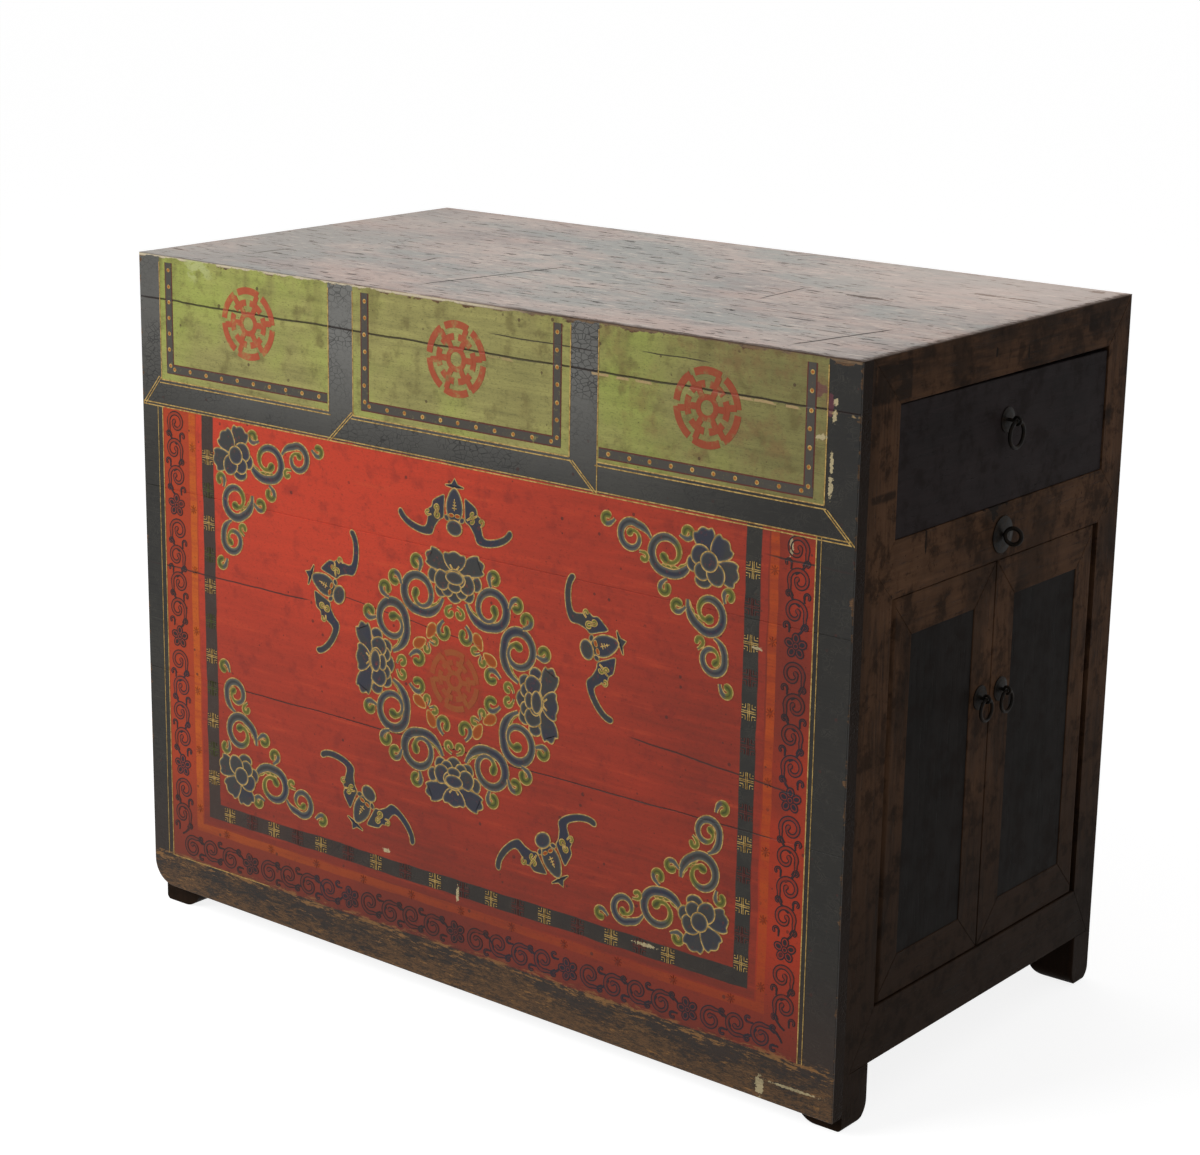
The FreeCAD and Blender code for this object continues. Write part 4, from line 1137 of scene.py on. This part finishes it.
def bat(sheet):
    """A bat with its head at the origin and its tail up."""
    sheet.plate(smooth(WING), BLUE, 3, WING_RIMS)
    sheet.plate(smooth([(-across, up) for across, up in reversed(WING)]), BLUE, 3, WING_RIMS)
    sheet.plate(smooth(TAIL, 2), BLUE, 3, TAIL_RIMS)
    petal(sheet, (0, 23), 27, 38, point=0.25, layer=4)
    for side in (-1, 1):
        petal(sheet, (side * 11.5, 9.5), 7, 9, turn=-side * 50, layer=6)
        comma(sheet, (side * 25.5, 11), 3.8, 140, -side, turn=230, half=2.1, layer=5, tip=0.0)
        comma(sheet, (side * 27.5, 19), 3.4, -40, -side, turn=230, half=2.0, layer=6, tip=0.0)
        comma(sheet, (side * 40, 12), 3.6, -60, side, turn=220, half=1.9, lead=2, layer=6, tip=0.0)
        petal(sheet, (side * 4.6, 13.5), 8.6, 5.2, colour=ORANGE, layer=7, points=14)
    for level, half in ((22, 3.6), (25.5, 2.7), (29, 1.8)):
        sheet.strip((-half, level), (half, level), 1.3, 6)
    sheet.strip((0, 19), (0, 33), 1.2, 6)
    petal(sheet, (0, -1), 25, 20, layer=8)


bat_sheet = Sheet(bat)
bat_places = [(-0.0261, 0.5893, 0), (-0.2076, 0.4767, 70), (0.1691, 0.4833, -70), (-0.1609, 0.2367, 152),
              (0.109, 0.2433, -148)]
stamped([(bat_sheet, at(*place)) for place in bat_places]).hang("bats", ornament_paint)

# %% [markdown]
# ## Gold lines, dots and frets
# Thin gold lines edge every panel and band. They are straight, so each is one strip of paint from point to
# point. The panels also have a slate band with orange dots, and the charcoal band carries small crossed
# frets.

# %% Gold lines
GOLD_LINE, THIN_LINE = 1.3, 0.9


def gold_lines(sheet):
    """Every gold line of the front. Its points are in metres."""
    def line(x_from, z_from, x_to, z_to, width=GOLD_LINE):
        sheet.strip((x_from / MM, z_from / MM), (x_to / MM, z_to / MM), width, 2)

    for left, right in PANELS:
        line(left, TOP - 0.008, left, PANEL_FOOT)
        line(right, TOP - 0.008, right, PANEL_FOOT)
        line(left, PANEL_FOOT, right, PANEL_FOOT)
        line(left - 0.003, PANEL_FOOT - 0.004, right + 0.003, PANEL_FOOT - 0.004)
    for gap in (0.0, 0.0035):
        line(LEFT + 0.002, RAIL_FOOT + gap, RIGHT - 0.004, RAIL_FOOT + gap - 0.003)
    for x_from, z_from, x_to, z_to in ((-0.5063, 0.7, -0.5356, 0.6633), (-0.1843, 0.7, -0.2229, 0.662),
                                       (0.1391, 0.6933, 0.1757, 0.66), (0.4724, 0.692, 0.5077, 0.6587)):
        for gap in (0.0, 0.004):
            line(x_from + gap, z_from, x_to + gap, z_to)
    line(PANELS[2][0], PANEL_FOOT, PANELS[2][0], RAIL_FOOT)
    for x, width in ((FIELD_LEFT, GOLD_LINE), (FIELD_LEFT - 0.008, THIN_LINE),
                     (FIELD_RIGHT, GOLD_LINE), (FIELD_RIGHT + 0.006, THIN_LINE)):
        line(x, RAIL_FOOT, x, FIELD_FOOT, width)
    line(FIELD_LEFT, FIELD_FOOT, -0.33, FIELD_FOOT, 1.0)


Sheet(gold_lines).hang("gold_lines", ornament_paint)

# %% Dotted bands of the panels
DOT_RADIUS, DOT_SWAY, DOT_CORNERS = 2.7, 1.4, 10
DOT_BAND, DOT_EDGE, UPRIGHT_PITCH, LEVEL_PITCH = 9.5, 1.5, 20.0, 27.0
DOT_SEED = 7


def dotted_bands(sheet):
    """Slate bands between two red-brown lines, with orange dots along them. Points are in metres."""
    noise.seed_set(DOT_SEED)
    (first_left, first_right), (second_left, second_right), (third_left, third_right) = PANELS
    angles = [2 * math.pi * index / DOT_CORNERS for index in range(DOT_CORNERS)]
    rim = [Vector((math.cos(angle), math.sin(angle))) * DOT_RADIUS for angle in angles]
    for start, end in (((first_left + 0.016, 0.842), (first_left + 0.016, 0.706)),
                       ((first_left + 0.01, 0.7115), (first_right - 0.002, 0.7115)),
                       ((second_left + 0.019, 0.842), (second_left + 0.019, 0.706)),
                       ((second_right - 0.018, 0.842), (second_right - 0.018, 0.706)),
                       ((second_left + 0.013, 0.7105), (second_right - 0.012, 0.7105)),
                       ((third_right - 0.02, 0.842), (third_right - 0.02, 0.704)),
                       ((third_left + 0.002, 0.7075), (third_right - 0.014, 0.7075))):
        start, end = Vector(start) / MM, Vector(end) / MM
        sheet.strip(start, end, DOT_BAND + 2 * DOT_EDGE, 0, FADED, PLAIN)
        sheet.strip(start, end, DOT_BAND, 2, SLATE, PLAIN)
        pitch = UPRIGHT_PITCH if abs(end.y - start.y) > abs(end.x - start.x) else LEVEL_PITCH
        count = round((end - start).length / pitch)
        for index in range(count):
            spot = start.lerp(end, (index + 0.5) / count)
            spot = spot + noise.noise_vector((spot.x, spot.y, 0.5)).xy * DOT_SWAY
            sheet.plate([spot + corner for corner in rim], ORANGE, 4, ((1.3, 1.4),))


Sheet(dotted_bands).hang("dotted_bands", ornament_paint)

# %% Frets on the charcoal band
FRET_LINE = 0.8


def fret(sheet, colour=BLUE, depth=0.0):
    """A cross with four brackets, 20 mm across, in thin lines."""
    for offset in (-1.0, 1.0):
        sheet.strip((offset, -9.5), (offset, 9.5), FRET_LINE, 5, colour, depth)
        sheet.strip((-9.5, offset), (9.5, offset), FRET_LINE, 5, colour, depth)
    for side in (-1, 1):
        for way in (-1, 1):
            for start, end in (((4.2, 4.2), (9.0, 4.2)), ((4.2, 4.2), (4.2, 9.0)), ((7.2, 7.2), (9.0, 7.2))):
                start, end = ((side * across, way * up) for across, up in (start, end))
                sheet.strip(start, end, FRET_LINE, 5, colour, depth)


middle = sum(CHARCOAL_BAND) / 2
left_row = [(FIELD_LEFT + middle, level) for level in (0.61, 0.527, 0.447, 0.357, 0.273, 0.197)]
right_row = [(FIELD_RIGHT - middle, level) for level in (0.613, 0.533, 0.457, 0.38, 0.308, 0.237, 0.17)]
foot_row = [(across, FIELD_FOOT + middle)
            for across in (-0.398, -0.321, -0.241, -0.15, -0.055, 0.032, 0.112, 0.209, 0.289)]
bold, dim, faded = Sheet(fret), Sheet(fret, GREEN, PLAIN), Sheet(fret, FADED, PLAIN)
stamps = [(bold, at(*place)) for place in left_row + right_row + foot_row]
for row, drawing in ((left_row, dim), (right_row, faded), (foot_row, faded)):
    for (x_a, z_a), (x_b, z_b) in zip(row, row[1:]):
        stamps.append((drawing, at((x_a + x_b) / 2, (z_a + z_b) / 2)))
stamped(stamps).hang("band_frets", ornament_paint)

# %% [markdown]
# ## Roundels
# Each green panel has a red roundel 88 mm across. It is a plain fret of six equal parts: a broken ring,
# short crossed bars and a small hexagon. The disc in the medallion holds the same fret, hardly darker than
# its ground.

# %% Roundels
ARC_STEPS = 8


def sixth(sheet):
    """A part of each broken ring, the spokes that join them, and a side of a closed hexagon."""
    for radius, middle, half_angle, half in ((39.8, 90, 25.5, 4.2), (25.6, 60, 23, 3.9), (11.5, 60, 30, 3.3)):
        path = [turned(middle + half_angle * (2 * index / ARC_STEPS - 1), (radius, 0))
                for index in range(ARC_STEPS + 1)]
        sheet.ribbon(path, [half] * len(path), [RED] * len(path), 1)
    for angle, inner, outer in ((60, 13.0, 24.0), (67, 28.0, 38.0)):
        sheet.ribbon([turned(angle, (inner, 0)), turned(angle, (outer, 0))], [3.6] * 2, [RED] * 2, 3)


def overpaint(name, draw):
    """Lacquer over the ground, whose dents show through it. Draw gives its colour."""
    def finish(net):
        ground = net.call(ground_and_painted_light_group, {})
        place = net.place()
        wear = net.clouds(place, 60.0, 6.0, 0.7)
        return draw(net, ground["Colour"], place, wear), net.add(wear, 0.2, 0.36), ground["Height"]

    return new_material(name, finish, LACQUER_SHINE)


def draw_roundel(net, ground, place, wear):
    return net.lay(net.mix(wear, (152, 52, 34), (190, 84, 56)),
                   (net.axes(place)[0], -0.35, 0.4, 0.6, (130, 54, 32)),
                   (net.spread(wear, 0.52, 0.7, 0.1, 0.85), ground))


def draw_disc(net, ground, place, wear):
    return net.mix(net.spread(wear, 0.3, 0.7, 0.3, 0.7), ground, (146, 92, 44))


part = Sheet(sixth)
roundel = stamped([(part, at(0, 0, 60 * count)) for count in range(6)])
roundel_places = ((-0.351, 0.7833), (-0.0243, 0.7833), (0.3224, 0.7767))
roundels = stamped([(roundel, at(*place)) for place in roundel_places])
roundels.hang("roundels", overpaint("roundel_paint", draw_roundel))
disc = stamped([(roundel, at(0, 0, 0, 0.85, 0.85))])
disc.hang("medallion_disc", overpaint("disc_paint", draw_disc), MEDALLION)

# %% [markdown]
# ## The scroll border
# A running scroll goes down both sides of the red field and along its foot. It is thin dark line work, so
# each S-curl is a narrow ribbon, and neighbours face opposite ways.

# %% Scroll border
VINE_SHAPE = ((0, 1.2), (0.2, 3.0), (0.7, 2.7), (0.86, 2.2), (0.95, 3.3), (1, 3.3))
UNIT_PITCH, FLOWER_EVERY, STAR_PITCH = 0.034, 5, 0.078


def draw_border(net, ground, place, wear):
    """Dark lines. Between depths 1.5 and 4 the ground shows through, and stars at depth -1 are faint."""
    depth = read_marks(net)[1]
    line = net.mix(net.spread(net.clouds(place, 7.0, 3.0, 0.5), 0.4, 0.6), (26, 12, 12), (24, 20, 30))
    between = net.meet((depth, 1.3, 1.7), (depth, 4.4, 3.6), 0.7)
    between = net.either(between, net.spread(depth, -0.2, -0.8, 0.0, 0.6))
    return net.lay(line, (between, ground), (wear, 0.56, 0.74, 0.65, ground))


def vine(sheet):
    """One curl of the running vine, which comes up from the unit below, with small leaves in its corners."""
    scroll(sheet, 1.0, 1, 0.5, VINE_SHAPE, centre=(1, 2), ring=12.0, enter=200, hand=-1, turn=420, eye=2.8,
           lead=15, lead_turn=75, hold=0.3)
    comma(sheet, (13, -14), 4.4, 200, -1, turn=230, half=1.7)
    comma(sheet, (-11, -13), 3.8, 20, 1, turn=230, half=1.6, lead=2)


def blossom(sheet):
    """A dark five-petalled flower that breaks the run of the vine."""
    for count in range(5):
        petal(sheet, turned(72 * count, (0, 8.5)), 11, 13, turn=72 * count, points=14)
    petal(sheet, (0, 0), 9, 9, layer=5, points=12)


def star(sheet):
    """Four short strokes that cross."""
    for count in range(4):
        way = turned(45 * count, (0, 5.5))
        sheet.strip(-way, way, 1.0, depth=-1.0)


drawings, star_sheet = (Sheet(vine), Sheet(blossom)), Sheet(star)
band_centre, orange_middle = sum(SCROLL_BAND) / 2, sum(ORANGE_BAND) / 2
foot_level = FIELD_FOOT + band_centre
side_start = foot_level + 0.02
stamps = []
for index in range(round((RAIL_FOOT - side_start) / UNIT_PITCH)):
    level = side_start + (index + 0.5) * UNIT_PITCH
    for x, side in ((FIELD_LEFT + band_centre, 1), (FIELD_RIGHT - band_centre, -1)):
        flip = side if index % 2 else -side
        stamps.append((drawings[index % FLOWER_EVERY == 2], at(x, level, 0, flip)))
for index in range(round((FIELD_RIGHT - FIELD_LEFT - 2 * band_centre) / UNIT_PITCH)):
    x = FIELD_LEFT + band_centre + (index + 0.5) * UNIT_PITCH
    stamps.append((drawings[index % FLOWER_EVERY == 3], at(x, foot_level, 90, 1 if index % 2 else -1)))
for count in range(7):
    for x in (FIELD_LEFT + orange_middle, FIELD_RIGHT - orange_middle):
        stamps.append((star_sheet, at(x, 0.15 + STAR_PITCH * count)))
stamps += [(star_sheet, at(-0.405 + STAR_PITCH * count, FIELD_FOOT + orange_middle)) for count in range(11)]
stamped(stamps).hang("scroll_border", overpaint("border_paint", draw_border))

# %% [markdown]
# ## Floor, backdrop and light
# The studio is plain. The floor and the world are white to the camera and a softer grey to everything else,
# so the background is bright without lighting the cabinet too much. A large soft lamp stands to the left of
# the camera, which keeps the painted front bright and leaves the end in shade, as in the photograph.

# %% Floor
FLOOR_SIZE, FLOOR_GLOW, GLOW_SHARE = 60.0, 1.55, 0.55
DIM_GREY, PALE_GREY, WHITE = (0.18, 0.18, 0.18, 1), (0.75, 0.75, 0.75, 1), (1, 1, 1, 1)


def seen_rays(net):
    """1 for what the camera sees, also in a mirror or through glass."""
    rays = net.node("ShaderNodeLightPath", {}).outputs
    return net.either(rays["Is Camera Ray"], rays["Is Glossy Ray"], rays["Is Transmission Ray"])


floor_mesh = bmesh.new()
bmesh.ops.create_grid(floor_mesh, x_segments=1, y_segments=1, size=FLOOR_SIZE)
floor_data = bpy.data.meshes.new("floor")
floor_mesh.to_mesh(floor_data)
floor_mesh.free()
floor = new_object("floor", floor_data)
floor_paint = bpy.data.materials.new("floor_paint")
floor_paint.use_nodes = True
floor_data.materials.append(floor_paint)
net = Net(floor_paint.node_tree)
shader, output = (floor_paint.node_tree.nodes[name] for name in ("Principled BSDF", "Material Output"))
seen = seen_rays(net)
grey = net.node("ShaderNodeMix", {0: seen, 6: DIM_GREY, 7: PALE_GREY}, data_type="RGBA").outputs[2]
net.fill(shader, {"Base Color": grey, "Roughness": 0.9})
glow = net.node("ShaderNodeEmission", {"Color": WHITE, "Strength": FLOOR_GLOW}).outputs[0]
both = net.node("ShaderNodeMixShader", {0: net.times(seen, GLOW_SHARE), 1: shader.outputs[0], 2: glow})
net.fill(output, {"Surface": both.outputs[0]})

# %% World and lamps
WORLD_LEVEL = 0.35
world = bpy.data.worlds.new("studio")
bpy.context.scene.world = world
world.use_nodes = True
net = Net(world.node_tree)
level = net.add(seen_rays(net), 1 - WORLD_LEVEL, WORLD_LEVEL)
net.fill(world.node_tree.nodes["Background"], {"Color": WHITE, "Strength": level})


def softbox(name, place, aim, size, power):
    """A square lamp that looks at a point."""
    data = bpy.data.lights.new(name, "AREA")
    data.shape = "SQUARE"
    data.size = size
    data.energy = power
    lamp = new_object(name, data)
    lamp.location = place
    lamp.rotation_euler = (Vector(aim) - Vector(place)).to_track_quat("-Z", "Y").to_euler()


softbox("front_softbox", (-1.8, -3.2, 2.6), (0.0, 0.0, 0.45), 2.2, 125)
softbox("top_softbox", (-0.8, 0.8, 3.2), (0.0, 0.0, 0.8), 2.0, 15)
print("studio lit")
